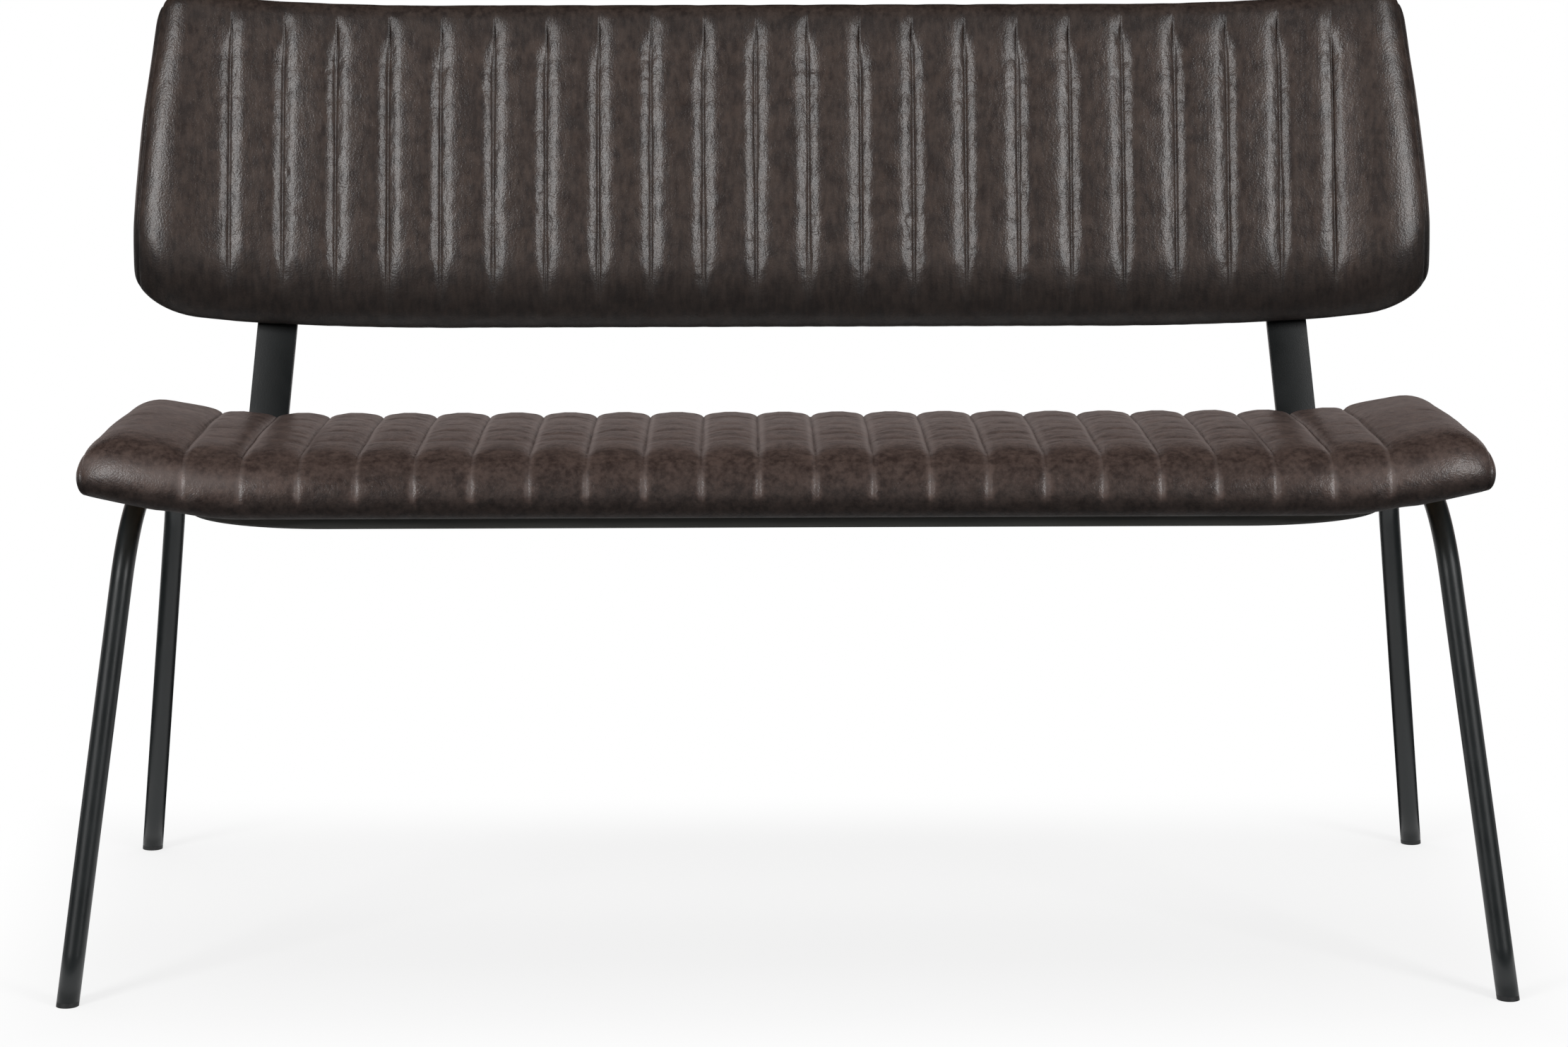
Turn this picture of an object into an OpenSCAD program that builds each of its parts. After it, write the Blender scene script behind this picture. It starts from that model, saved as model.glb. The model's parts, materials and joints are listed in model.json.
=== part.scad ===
// Dining bench: channelled leather seat and back on two bent tube leg frames.
// Millimetres, +Z up. The origin is on the floor at the middle of the bench.
// The front faces -Y. The seat and the back are each drawn in a tilted frame of their own.

/* [Floor plan] */
// Distance between the left and right foot centres
foot_span_x = 1270; // [1230:1:1310]
// Distance between the front and rear foot centres
foot_span_y = 580; // [550:1:640]

/* [Seat] */
// Width of the seat cushion
seat_w = 1249; // [1235:1:1260]
// Depth of the seat cushion, front bulge to rear bulge
seat_d = 355; // [335:1:380]
// Height of the base panel's lower front edge above the floor
seat_edge_h = 415; // [390:1:440]
// Place of the base panel's front edge, forward of the middle
seat_edge_y = -235; // [-250:1:-220]
// Backward slope of the seat in degrees
seat_tilt = 1.8; // [1:0.1:4]
// Height of the cushion, leather rim to crown
cushion_h = 55; // [50:1:65]
// Overhang of the cushion past the base panel at the front
seat_overhang = 20; // [14:1:26]
// Radius of the roll along the front edge of the cushion
seat_front_roll = 30; // [26:1:34]
// Radius of the roll along the rear edge of the cushion
seat_rear_roll = 24; // [20:1:28]
// Radius of the roll along the ends of the cushion
seat_end_roll = 39; // [34:1:41]
// Radius of the seat cushion's front corners in plan
seat_front_corner_r = 42; // [36:1:50]
// Radius of the seat cushion's rear corners in plan
seat_rear_corner_r = 75; // [60:1:82]
// Distance from the side of the seat cushion to its foam
seat_side_pad = 17; // [16:0.5:20]
// How much higher the wide end panels of the seat stand than its narrow channels
seat_end_puff = 4; // [0:0.5:6]

/* [Back] */
// How much narrower than the seat cushion the back cushion is, at its widest
back_short = 5; // [-11:1:19]
// Height of the back cushion measured along its slope
back_h = 312; // [290:1:330]
// Thickness of the back cushion, front face to rear rim
back_d = 43; // [41:0.5:50]
// Backward slope of the back in degrees
back_tilt = 16; // [12:0.5:19]
// Place of the back's front face at its lower edge, behind the middle
back_y = 138; // [132:1:150]
// Height of the back's lower edge above the floor
back_z = 551; // [535:1:580]
// Depth of the roll that carries the back's lower edge rearward
back_low_roll_d = 32; // [28:1:34]
// Height of the roll along the back's lower edge
back_low_roll_h = 42; // [36:1:48]
// Radius of the roll along the back's top edge
back_top_roll = 17; // [14:1:20]
// Width of the rounding at the back's lower corners
back_low_corner_r = 62; // [52:1:80]
// Height of the rounding at the back's lower corners
back_low_corner_h = 40; // [34:1:52]
// Radius of the back's upper corners
back_top_corner_r = 32; // [28:1:40]
// How much each end of the back leans in at the top
back_narrowing = 24; // [10:1:26]
// Share of the back's height at which its ends begin to lean in
back_lean_start = 0.25; // [0.1:0.05:0.4]
// Rise of the back's edges toward the ends
back_smile = 16; // [0:1:18]
// Distance from the middle at which the back's edges begin to rise
back_smile_x = 320; // [280:5:380]
// Distance from the edge of the back cushion to its foam
back_side_pad = 24; // [22:1:28]

/* [Channels] */
// Width of the wide panel between the outermost seam and each end of the seat
end_panel_w = 95.3; // [89:0.1:131]
// Number of narrow channels between the two wide end panels
channel_count = 21; // [9:2:21]
// Depth of the groove at each seam
groove_depth = 5.5; // [3:0.5:6]
// Half width of the groove at each seam
groove_half = 10; // [8:1:14]
// Thickness of the quilted cover above the foam
quilt_t = 13; // [12:0.5:15]

/* [Bent ends] */
// Width of each end of the seat beyond the flat middle of its board
seat_bent_w = 144.5; // [139.5:0.5:174.5]
// Width of each end of the back beyond the flat middle of its board
back_bent_w = 132; // [122:0.5:137]
// Radius of the bend in both boards
board_bend_r = 300; // [250:10:360]
// Angle by which the ends of both boards turn up
board_bend_a = 10; // [6:0.5:12]

/* [Boards] */
// Thickness of the flat base panel under the seat
base_panel_t = 12; // [9:0.5:15]
// Gap between the end of the base panel and the leg plates
base_panel_gap = 10; // [3:1:18]
// Radius of the base panel's corners
base_panel_r = 135; // [90:5:140]
// Chamfer along the top edge of the base panel
base_panel_chamfer = 3; // [1:0.5:4]
// Distance from the cushion's rear bulge to the base panel
base_panel_inset = 22; // [18:1:30]
// Thickness of the moulded seat board
seat_board_t = 12; // [12:0.5:15]
// Thickness of the moulded back board
back_board_t = 12; // [12:0.5:14]
// Thickness of the leather covered panel on the rear of the back
rear_panel_t = 3; // [2:0.5:5]
// Distance from the edge of the back cushion to its rear panel
rear_panel_inset = 12; // [10:1:18]

/* [Leg frames] */
// Outer diameter of the leg tube
tube_d = 20; // [18:0.5:25]
// Wall of the leg tube
tube_wall = 1.5; // [1.2:0.1:2.5]
// Centre line radius of the tube's bends
tube_bend_r = 95; // [70:1:100]
// Forward lean of the front legs in degrees
front_lean = 17; // [14:0.5:19]
// Rearward lean of the rear legs in degrees
rear_lean = 13; // [10:0.5:15]
// Distance from the end of the seat cushion to the rail at the top of each leg frame
rail_inset = 38.5; // [36.5:0.5:42.5]
// Thickness of the plates welded on the rails
leg_plate_t = 3; // [2.5:0.5:5]
// Width of a leg plate across the rail
leg_plate_w = 48; // [46:1:52]
// Length of a leg plate along the rail
leg_plate_l = 52; // [44:1:60]
// Distance from the rail inward to the middle of the leg plates
leg_plate_shift = 14; // [12:0.5:16]
// Place of the front leg plates behind the base panel's front edge
leg_plate_front = 178; // [170:1:190]
// Place of the rear leg plates behind the base panel's front edge
leg_plate_rear = 286; // [276:1:292]
// Thickness of the plastic foot cap under the tube
foot_cap_t = 4; // [3:0.5:8]
// Length of the foot cap's plug inside the tube
foot_plug_l = 22; // [15:1:30]

/* [Back bars] */
// Width of the flat steel back bars
bar_w = 38; // [32:1:44]
// Thickness of the back bars
bar_t = 8; // [6:0.5:10]
// Centre line radius of the bend in the back bars
bar_bend_r = 80; // [70:1:84]
// Distance from the end of the base panel to the middle of each back bar
bar_inset = 43; // [38:1:53]
// Inward lean of the back bars in degrees
bar_lean = 5; // [3:0.5:7]
// How far the bars reach up the rear of the back
bar_reach = 205; // [190:1:230]
// Length of the straight part under the seat
bar_foot_l = 190; // [170:1:210]

/* [Fasteners] */
// Shank diameter of the leg bolts
leg_bolt_d = 6; // [5:1:8]
// Shank diameter of the bar bolts
bar_bolt_d = 8; // [6:1:8]
// Spacing of the two bolts in each leg plate
leg_bolt_pitch = 30; // [26:1:34]
// Distance from the middle of a leg plate to its bolts
leg_bolt_inset = 14; // [13:0.5:15]
// Spacing of the bolts along the bars on the back
bar_bolt_pitch = 70; // [50:1:75]
// Distance from the top of a bar to its first bolt
bar_bolt_end = 25; // [20:1:30]
// Spacing of the bolts along the bars under the seat
bar_foot_bolt_pitch = 110; // [90:1:120]
// Shank diameter of the base panel screws
panel_screw_d = 4; // [3:0.5:5]
// Length of the threaded inserts in the boards
insert_l = 10; // [8:0.5:11]
// Wall of the threaded inserts
insert_wall = 1.6; // [1.2:0.1:2]
// Gap round a bolt's shank in a drilled hole
bolt_gap = 0.25; // [0.1:0.05:0.4]
// Gap round an insert, a thread or a foot plug
fit_gap = 0.1; // [0.05:0.05:0.15]
// Gap between a soft piece and its neighbour
soft_gap = 0.3; // [0.2:0.05:0.5]
// Gap between the leg tube and the plates welded to it
weld_gap = 0.15; // [0.1:0.05:0.2]

/* [Hidden] */
$fn = 48;

// Colours as the photograph shows them
steel_black = [0.13, 0.14, 0.14];
leather_brown = [0.25, 0.21, 0.20];
panel_black = [0.10, 0.10, 0.10];
plywood_tan = [0.72, 0.58, 0.42];
foam_cream = [0.88, 0.84, 0.70];
zinc_grey = [0.62, 0.63, 0.64];
cap_black = [0.07, 0.07, 0.07];

// Larger than any piece, for cutting
far = 2000;
// Overlap that joins or cuts cleanly
bite = 1;
// Thin slice at each end of a chamfer
slice = 0.1;

// Widths and places along x that follow the seat's width
seat_half = seat_w / 2;
seat_flat_w = seat_w - 2 * seat_bent_w;
back_w = seat_w - back_short;
back_flat_w = back_w - 2 * back_bent_w;
channel_pitch = (seat_w - 2 * end_panel_w) / channel_count;
rail_x = seat_half - rail_inset;
leg_plate_x = rail_x - leg_plate_shift;
base_panel_half = leg_plate_x - leg_plate_w / 2 - base_panel_gap;
bar_x = base_panel_half - bar_inset;

// Small helpers
function clamp01(v) = max(0, min(1, v));
function ease(t) = t * t * (3 - 2 * t);
function corner_drop(e, r) = e >= r ? 0 : r - sqrt(r * r - (r - e) * (r - e));
function cross2(a, b) = a[0] * b[1] - a[1] * b[0];
function arc(c, r, a0, a1, n) =
    [for (i = [0:n]) let (a = a0 + (a1 - a0) * i / n)
        [c[0] + r[0] * cos(a), c[1] + r[1] * sin(a), cos(a), sin(a)]];

// Height by which a moulded board has turned up at x, with a flat middle of the given width
function board_rise(x, flat_w) =
    let (d = abs(x) - flat_w / 2, run = board_bend_r * sin(board_bend_a))
    d <= 0 ? 0
    : d < run ? board_bend_r - sqrt(board_bend_r * board_bend_r - d * d)
    : board_bend_r * (1 - cos(board_bend_a)) + (d - run) * tan(board_bend_a);
function seat_rise(x) = board_rise(x, seat_flat_w);
function back_bend(x) = board_rise(x, back_flat_w);
// Places along x at which a moulded board is drawn, from -half to half
function board_stations(half, flat_w) =
    let (
        f = flat_w / 2,
        run = board_bend_r * sin(board_bend_a),
        right = concat([for (i = [0:4]) f + run * i / 4], [half])
    )
    concat([for (i = [len(right) - 1:-1:0]) -right[i]], right);

// Channel seams, and the places along x at which a channelled cover is drawn
seam_xs = [for (i = [0:channel_count]) (i - channel_count / 2) * channel_pitch];
end_steps = [0, 3, 9, 20, 40, 68];
function cover_stations(half) = concat(
    [for (e = end_steps) e - half],
    [for (x = seam_xs) for (d = [-groove_half, 0, groove_half]) x + d],
    [for (i = [len(end_steps) - 1:-1:0]) half - end_steps[i]]
);
function groove_at(x) =
    max([for (s = seam_xs) abs(x - s) < groove_half / 2 ? groove_depth : 0]);

// Triangles of a closed loft of sections that all have n points
function loft_faces(sections, n) = concat(
    [for (i = [0:sections - 2]) for (j = [0:n - 1]) let (k = (j + 1) % n)
        [i * n + j, (i + 1) * n + j, (i + 1) * n + k]],
    [for (i = [0:sections - 2]) for (j = [0:n - 1]) let (k = (j + 1) % n)
        [i * n + j, (i + 1) * n + k, i * n + k]],
    [for (j = [1:n - 2]) [0, j, j + 1]],
    [for (j = [1:n - 2]) let (b = (sections - 1) * n) [b, b + j + 1, b + j]]
);
module loft(sections) {
    n = len(sections[0]);
    polyhedron(points = [for (s = sections) for (p = s) p], faces = loft_faces(len(sections), n));
}

// Seat cushion sizes in the seat's frame: y runs rearward, z is square to the base panel
seat_front = -seat_overhang;
seat_rear = seat_front + seat_d;
seat_rim = base_panel_t + soft_gap;
seat_top = base_panel_t + cushion_h;
// The cushion's sides draw in by seat_tuck over the lowest seat_tuck_h of their height
seat_tuck = 6;
seat_tuck_h = 18;
seat_crown = 2;
seat_core_half = seat_half - seat_side_pad;
seat_core_front = seat_front + seat_side_pad + 1;
seat_core_rear = seat_rear - seat_side_pad;
seat_core_front_r = seat_front_corner_r - seat_side_pad + 2;
seat_core_rear_r = seat_rear_corner_r - seat_side_pad + 2;
seat_foam_top = seat_top - quilt_t;
base_panel_d = seat_rear - base_panel_inset;

// How far the seat's top stands above its height in the middle, before it follows the board
function seat_puff(x) =
    seat_end_puff * ease(clamp01((abs(x) - outer_seam) / (2 * channel_pitch) + 1));
// Outline of the seat cover, drawn in at the front and rear and lowered by drop, from the rear rim
// to the front rim
function seat_profile(front_inset, rear_inset, drop) =
    let (
        f = seat_front + front_inset,
        r = seat_rear - rear_inset,
        top = seat_top - drop,
        room = 0.6 * (top - seat_rim),
        rf = min(seat_front_roll, room),
        rr = min(seat_rear_roll, room),
        low = seat_rim + min(seat_tuck_h, 0.45 * room)
    )
    concat(
        arc([r - seat_tuck, low], [seat_tuck, low - seat_rim], -90, 0, 1),
        arc([r - rr, top - rr], [rr, rr], 0, 90, 2),
        [[(f + r) / 2, top + seat_crown, 0, 1]],
        arc([f + rf, top - rf], [rf, rf], 90, 180, 3),
        arc([f + seat_tuck, low], [seat_tuck, low - seat_rim], 180, 270, 2)
    );
// How strongly the grooves show at each point of that outline
seat_groove_share = [0, 0.5, 0.8, 1, 1, 1, 1, 1, 1, 1, 0.8, 0.3, 0];
function seat_section(x) =
    let (
        e = seat_half - abs(x),
        g = groove_at(x),
        front_inset = corner_drop(e, seat_front_corner_r),
        rear_inset = corner_drop(e, seat_rear_corner_r),
        outline = seat_profile(front_inset, rear_inset, corner_drop(e, seat_end_roll) - seat_puff(x))
    )
    [for (i = [0:len(outline) - 1]) let (
            p = outline[i],
            cut = g * seat_groove_share[i],
            low = clamp01((seat_rim + seat_tuck_h - p[1]) / seat_tuck_h)
        )
        [
            x * (1 - low * seat_tuck / seat_half),
            p[0] - cut * p[2],
            p[1] - cut * p[3] + seat_rise(x)
        ]];

// Back cushion sizes in the back's frame: y runs rearward from the front face, z up the slope
back_half = back_w / 2;
back_crown = 2;
back_rim_inset = 5;
back_end_roll = 28;
back_foam_front = quilt_t;
back_board_front = back_d - back_board_t;
outer_seam = channel_pitch * channel_count / 2;

// Rise of the back's edges at x, and lean of its ends at height z
function back_lift(x) =
    let (s = max(0, abs(x) - back_smile_x) / (back_half - back_smile_x)) back_smile * s * s;
function end_share(x) = clamp01((abs(x) - outer_seam) / (back_half - outer_seam));
function back_lean_in(x, z) =
    let (t = clamp01((z / back_h - back_lean_start) / (1 - back_lean_start)))
    sign(x) * end_share(x) * back_narrowing * pow(t, 1.3);
function back_low_drop(e) =
    corner_drop(e, back_low_corner_r) * back_low_corner_h / back_low_corner_r;

// Outline of the back cover, e from its end, from the upper rear rim over the front to the lower
function back_profile(e) =
    let (
        low = back_low_drop(e),
        top = back_h - corner_drop(e, back_top_corner_r),
        front = corner_drop(e, back_end_roll),
        rd = min(back_low_roll_d, 0.75 * (back_d - front)),
        rt = min(back_top_roll, 0.5 * (back_d - front)),
        rh = min(back_low_roll_h, 0.4 * (top - low))
    )
    concat(
        [[back_d, top - back_rim_inset, 0, 1]],
        arc([front + rt, top - rt], [rt, rt], 90, 180, 3),
        [[front - back_crown, (low + top) / 2, -1, 0]],
        arc([front + rd, low + rh], [rd, rh], 180, 270, 4),
        [[back_d, low + back_rim_inset, 0, -1]]
    );
// How strongly the grooves show at each point of that outline
back_groove_share = [0, 0, 0.2, 0.7, 1, 1, 1, 0.7, 0.3, 0.1, 0, 0];
function back_section(x) =
    let (e = back_half - abs(x), g = groove_at(x), outline = back_profile(e))
    [for (i = [0:len(outline) - 1]) let (
            p = outline[i],
            cut = g * back_groove_share[i],
            leant = x - back_lean_in(x, p[1])
        )
        [leant, p[0] - cut * p[2] - back_bend(leant), p[1] - cut * p[3] + back_lift(x)]];

// Outline in x and z of a piece inside the back, set in from the cushion's edge
outline_steps = [0, 2, 6, 14, 26, 42, 60];
outline_straight = 130;
function outline_stations(half) = concat(
    [for (e = outline_steps) e - half],
    [for (i = [-4:4]) i * (half - outline_straight) / 4],
    [for (i = [len(outline_steps) - 1:-1:0]) half - outline_steps[i]]
);
function back_outline(inset) =
    let (half = back_half - inset, xs = outline_stations(half), last = len(xs) - 1)
    concat(
        [for (x = xs) let (z = inset + back_low_drop(half - abs(x)))
            [x - back_lean_in(x, z), z + back_lift(x)]],
        [for (i = [last:-1:0]) let (
                x = xs[i],
                z = back_h - inset - corner_drop(half - abs(x), back_top_corner_r)
            )
            [x - back_lean_in(x, z), z + back_lift(x)]]
    );

// Leg frame geometry, in the seat's frame where it meets the seat
tube_r = tube_d / 2;
plate_drop = (leg_plate_t + tube_r + weld_gap) / cos(board_bend_a);
rail_t = base_panel_t + seat_rise(rail_x) - plate_drop;
// Height of the rail's centre line above the floor at y
function rail_z(y) = seat_edge_h - (y - seat_edge_y) * tan(seat_tilt) + rail_t / cos(seat_tilt);
splay = atan((foot_span_x / 2 - rail_x) / rail_z(0));
foot_y = foot_span_y / 2;
front_top_z = (rail_z(0) + foot_y * tan(seat_tilt)) / (1 + tan(front_lean) * tan(seat_tilt));
rear_top_z = (rail_z(0) - foot_y * tan(seat_tilt)) / (1 - tan(rear_lean) * tan(seat_tilt));
// Corners of the leg frame's centre line in its own plane: y, and height along the plane
leg_corners = [
    [-foot_y, 0],
    [-foot_y + front_top_z * tan(front_lean), front_top_z / cos(splay)],
    [foot_y - rear_top_z * tan(rear_lean), rear_top_z / cos(splay)],
    [foot_y, 0]
];
// Headings of the front leg, the rail and the rear leg in that plane
leg_heads = [for (i = [0:2]) let (d = leg_corners[i + 1] - leg_corners[i]) atan2(d[1], d[0])];
tube_sides = 24;
bend_steps = 10;
// Stations along the bend at leg corner i: y, height and heading
function bend_line(i) =
    let (
        h0 = leg_heads[i - 1],
        h1 = leg_heads[i],
        cut = tube_bend_r * tan((h0 - h1) / 2),
        first = leg_corners[i] - cut * [cos(h0), sin(h0)],
        middle = first + tube_bend_r * [sin(h0), -cos(h0)]
    )
    [for (k = [0:bend_steps]) let (h = h0 + (h1 - h0) * k / bend_steps)
        [middle[0] - tube_bend_r * sin(h), middle[1] + tube_bend_r * cos(h), h]];
// A leg runs this far past the floor before it is cut flat
leg_past = tube_d;
function leg_end(corner, head, way) =
    [corner[0] + way * leg_past * cos(head), corner[1] + way * leg_past * sin(head), head];
leg_line = concat(
    [leg_end(leg_corners[0], leg_heads[0], -1)],
    bend_line(1),
    bend_line(2),
    [leg_end(leg_corners[3], leg_heads[2], 1)]
);

// Back bar geometry: where the line up the back meets the line under the seat
bar_depth = back_d + rear_panel_t + bar_t / 2;
seat_origin = [seat_edge_y, seat_edge_h];
seat_along = [cos(seat_tilt), -sin(seat_tilt)];
seat_up = [sin(seat_tilt), cos(seat_tilt)];
back_along = [sin(back_tilt), cos(back_tilt)];
back_in = [cos(back_tilt), -sin(back_tilt)];
bar_back_start = [back_y, back_z] + bar_depth * back_in;
bar_seat_start = seat_origin - bar_t / 2 * seat_up;
bar_corner_v = cross2(bar_seat_start - bar_back_start, seat_along) / cross2(back_along, seat_along);
bar_corner_s = cross2(bar_back_start - bar_seat_start, back_along) / cross2(seat_along, back_along);
bar_turn = 90 - back_tilt + seat_tilt;
bar_tangent = bar_bend_r * tan(bar_turn / 2);
bar_low_v = bar_corner_v + bar_tangent;
bar_foot_end = bar_corner_s - bar_tangent;
bar_upper_l = (bar_reach - bar_low_v) / cos(bar_lean);

// Fastener sizes that follow the shanks
function head_d(d) = 1.8 * d;
function head_h(d) = 0.5 * d;
// A bolt's tip stops this far short of the far end of its insert
bolt_short = 2;
leg_bolt_l = leg_plate_t + insert_l - bolt_short;
seat_bar_bolt_l = bar_t + base_panel_t + insert_l - bolt_short;
back_bar_bolt_l = bar_t + rear_panel_t + insert_l - bolt_short;
leg_bolt_x = leg_plate_x - leg_bolt_inset;
bar_bolts_v = [for (i = [0:2]) bar_upper_l - bar_bolt_end - i * bar_bolt_pitch];
bar_foot_bolt_end = 40;
bar_foot_bolts = [for (i = [0:1]) bar_foot_end - bar_foot_bolt_end - i * bar_foot_bolt_pitch];
panel_screw_pitch = 170;
panel_screw_inset = 22;
panel_screw_xs = [for (i = [-2.5:2.5]) i * panel_screw_pitch];
panel_screw_ys = [panel_screw_inset, base_panel_d - panel_screw_inset];
// How far the panel screws reach into the seat board
panel_screw_bite = 8;
panel_screw_l = base_panel_t + panel_screw_bite;

// Frames of reference
module seat_frame() {
    translate([0, seat_edge_y, seat_edge_h])
        rotate([-seat_tilt, 0, 0])
            children();
}
module back_frame() {
    translate([0, back_y, back_z])
        rotate([-back_tilt, 0, 0])
            children();
}
module right_leg_frame_plane() {
    translate([foot_span_x / 2, 0, 0])
        rotate([0, -splay, 0])
            children();
}
// Turns a shape drawn in x and y so that its y runs up and it is extruded rearward
module stand_up(y0, y1) {
    translate([0, y1, 0])
        rotate([90, 0, 0])
            linear_extrude(y1 - y0)
                children();
}
module on_left() {
    mirror([1, 0, 0])
        children();
}
module on_both() {
    children();
    on_left()
        children();
}

// Plan shapes
module rounded_plan(half, y0, y1, front_r, rear_r) {
    middle = (y0 + y1) / 2;
    translate([front_r - half, y0])
        square([2 * (half - front_r), middle - y0]);
    translate([rear_r - half, middle])
        square([2 * (half - rear_r), y1 - middle]);
    translate([-half, y0 + front_r])
        square([2 * half, y1 - y0 - front_r - rear_r]);
    for (side = [-1, 1]) {
        translate([side * (half - front_r), y0 + front_r])
            circle(front_r);
        translate([side * (half - rear_r), y1 - rear_r])
            circle(rear_r);
    }
}
// Strip that follows a moulded board in x, between two offsets from its underside
module board_strip(half, flat_w, low, high) {
    xs = board_stations(half, flat_w);
    last = len(xs) - 1;
    polygon(concat(
        [for (x = xs) [x, low + board_rise(x, flat_w)]],
        [for (i = [last:-1:0]) [xs[i], high + board_rise(xs[i], flat_w)]]
    ));
}

// Slab inside the seat: board, foam or the hollow that holds them
module seat_core(low, high, gap) {
    y0 = seat_core_front - gap;
    y1 = seat_core_rear + gap;
    intersection() {
        stand_up(y0 - bite, y1 + bite)
            board_strip(seat_half, seat_flat_w, low, high);
        translate([0, 0, -far / 2])
            linear_extrude(far)
                rounded_plan(seat_core_half + gap, y0, y1, seat_core_front_r, seat_core_rear_r);
    }
}
// Slab inside the back, from one depth behind the front face to another
module back_core(front, rear, inset) {
    intersection() {
        translate([0, 0, -far / 2])
            linear_extrude(far)
                mirror([0, 1])
                    board_strip(back_half, back_flat_w, -rear, -front);
        stand_up(-far / 2, far / 2)
            polygon(back_outline(inset));
    }
}

// Closed sweep of a ring along the leg frame's centre line
module leg_sweep(r) {
    loft([for (p = leg_line) [for (i = [0:tube_sides - 1]) let (u = 360 * i / tube_sides)
        [r * sin(u), p[0] - r * cos(u) * sin(p[2]), p[1] + r * cos(u) * cos(p[2])]]]);
}
module leg_tube() {
    difference() {
        right_leg_frame_plane()
            difference() {
                leg_sweep(tube_r);
                leg_sweep((tube_r - tube_wall) / cos(180 / tube_sides));
            }
        translate([-far, -far, foot_cap_t - far])
            cube([2 * far, 2 * far, far]);
    }
}
// Round bar on the centre line of a leg, from the foot up: corner 0 is the front foot, 3 the rear
module leg_stub(corner, r, l) {
    head = corner == 0 ? leg_heads[0] : leg_heads[2] + 180;
    right_leg_frame_plane()
        translate([0, leg_corners[corner][0], leg_corners[corner][1]])
            rotate([head - 90, 0, 0])
                translate([0, 0, -leg_past])
                    cylinder(r = r, h = l + leg_past);
}
module foot_cap(corner) {
    intersection() {
        leg_stub(corner, tube_r, 3 * foot_cap_t);
        translate([-far, -far, 0])
            cube([2 * far, 2 * far, foot_cap_t]);
    }
    intersection() {
        leg_stub(corner, tube_r - tube_wall - fit_gap, foot_plug_l);
        translate([-far, -far, foot_cap_t - bite])
            cube([2 * far, 2 * far, far]);
    }
}

// Places on a leg plate, square to the turned up end of the seat board
module at_leg_plates() {
    for (y = [leg_plate_front, leg_plate_rear]) {
        seat_frame()
            translate([leg_plate_x, y, base_panel_t + seat_rise(leg_plate_x)])
                rotate([0, -board_bend_a, 0])
                    children();
    }
}
module at_leg_bolts() {
    at_leg_plates()
        for (y = [-leg_bolt_pitch / 2, leg_bolt_pitch / 2]) {
            translate([-leg_bolt_inset, y, 0])
                children();
        }
}
// Places on the bars: up the back with z forward, and under the seat with z up
module at_bar_top() {
    back_frame()
        translate([bar_x, bar_depth, bar_low_v])
            rotate([0, -bar_lean, 0])
                children();
}
module at_back_bar_bolts() {
    for (v = bar_bolts_v) {
        at_bar_top()
            translate([0, -bar_t / 2, v])
                rotate([90, 0, 0])
                    children();
    }
}
module at_seat_bar_bolts() {
    for (y = bar_foot_bolts) {
        seat_frame()
            translate([bar_x, y, 0])
                children();
    }
}
module at_panel_screws() {
    for (x = panel_screw_xs) {
        for (y = panel_screw_ys) {
            seat_frame()
                translate([x, y, 0])
                    children();
        }
    }
}

// Button head bolt: its head sits at z = -seat, its shank runs toward +z
module bolt(d, seat, l) {
    translate([0, 0, -seat - head_h(d)])
        difference() {
            cylinder(d1 = 1.2 * d, d2 = head_d(d), h = head_h(d));
            translate([0, 0, -bite])
                cylinder(d = 0.6 * d, h = 0.3 * d + bite, $fn = 6);
        }
    translate([0, 0, -seat])
        cylinder(d = d, h = l);
}
// Threaded insert: starts at z = 0 and is sunk into the board toward +z
module insert(d) {
    difference() {
        cylinder(d = d + 2 * insert_wall, h = insert_l);
        translate([0, 0, -bite])
            cylinder(d = d + 2 * fit_gap, h = insert_l + 2 * bite);
    }
}
module insert_hole(d) {
    translate([0, 0, -bite])
        cylinder(d = d + 2 * insert_wall + 2 * fit_gap, h = insert_l + fit_gap + bite);
}
module bolt_hole(d, depth) {
    translate([0, 0, -depth])
        cylinder(d = d + 2 * bolt_gap, h = 2 * depth);
}

// Sub-parts
module left_leg_frame() {
    color(steel_black)
        on_left()
            leg_tube();
}
module right_leg_frame() {
    color(steel_black)
        leg_tube();
}
module leg_plates() {
    difference() {
        at_leg_plates()
            translate([-leg_plate_w / 2, -leg_plate_l / 2, -leg_plate_t])
                cube([leg_plate_w, leg_plate_l, leg_plate_t]);
        at_leg_bolts()
            bolt_hole(leg_bolt_d, 2 * leg_plate_t);
    }
}
module left_leg_plates() {
    color(steel_black)
        on_left()
            leg_plates();
}
module right_leg_plates() {
    color(steel_black)
        leg_plates();
}
module front_left_foot_cap() {
    color(cap_black)
        on_left()
            foot_cap(0);
}
module front_right_foot_cap() {
    color(cap_black)
        foot_cap(0);
}
module rear_left_foot_cap() {
    color(cap_black)
        on_left()
            foot_cap(3);
}
module rear_right_foot_cap() {
    color(cap_black)
        foot_cap(3);
}
module leg_bolts() {
    color(zinc_grey)
        on_both()
            at_leg_bolts()
                bolt(leg_bolt_d, leg_plate_t, leg_bolt_l);
}
module leg_inserts() {
    color(zinc_grey)
        on_both()
            at_leg_bolts()
                insert(leg_bolt_d);
}
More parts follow.
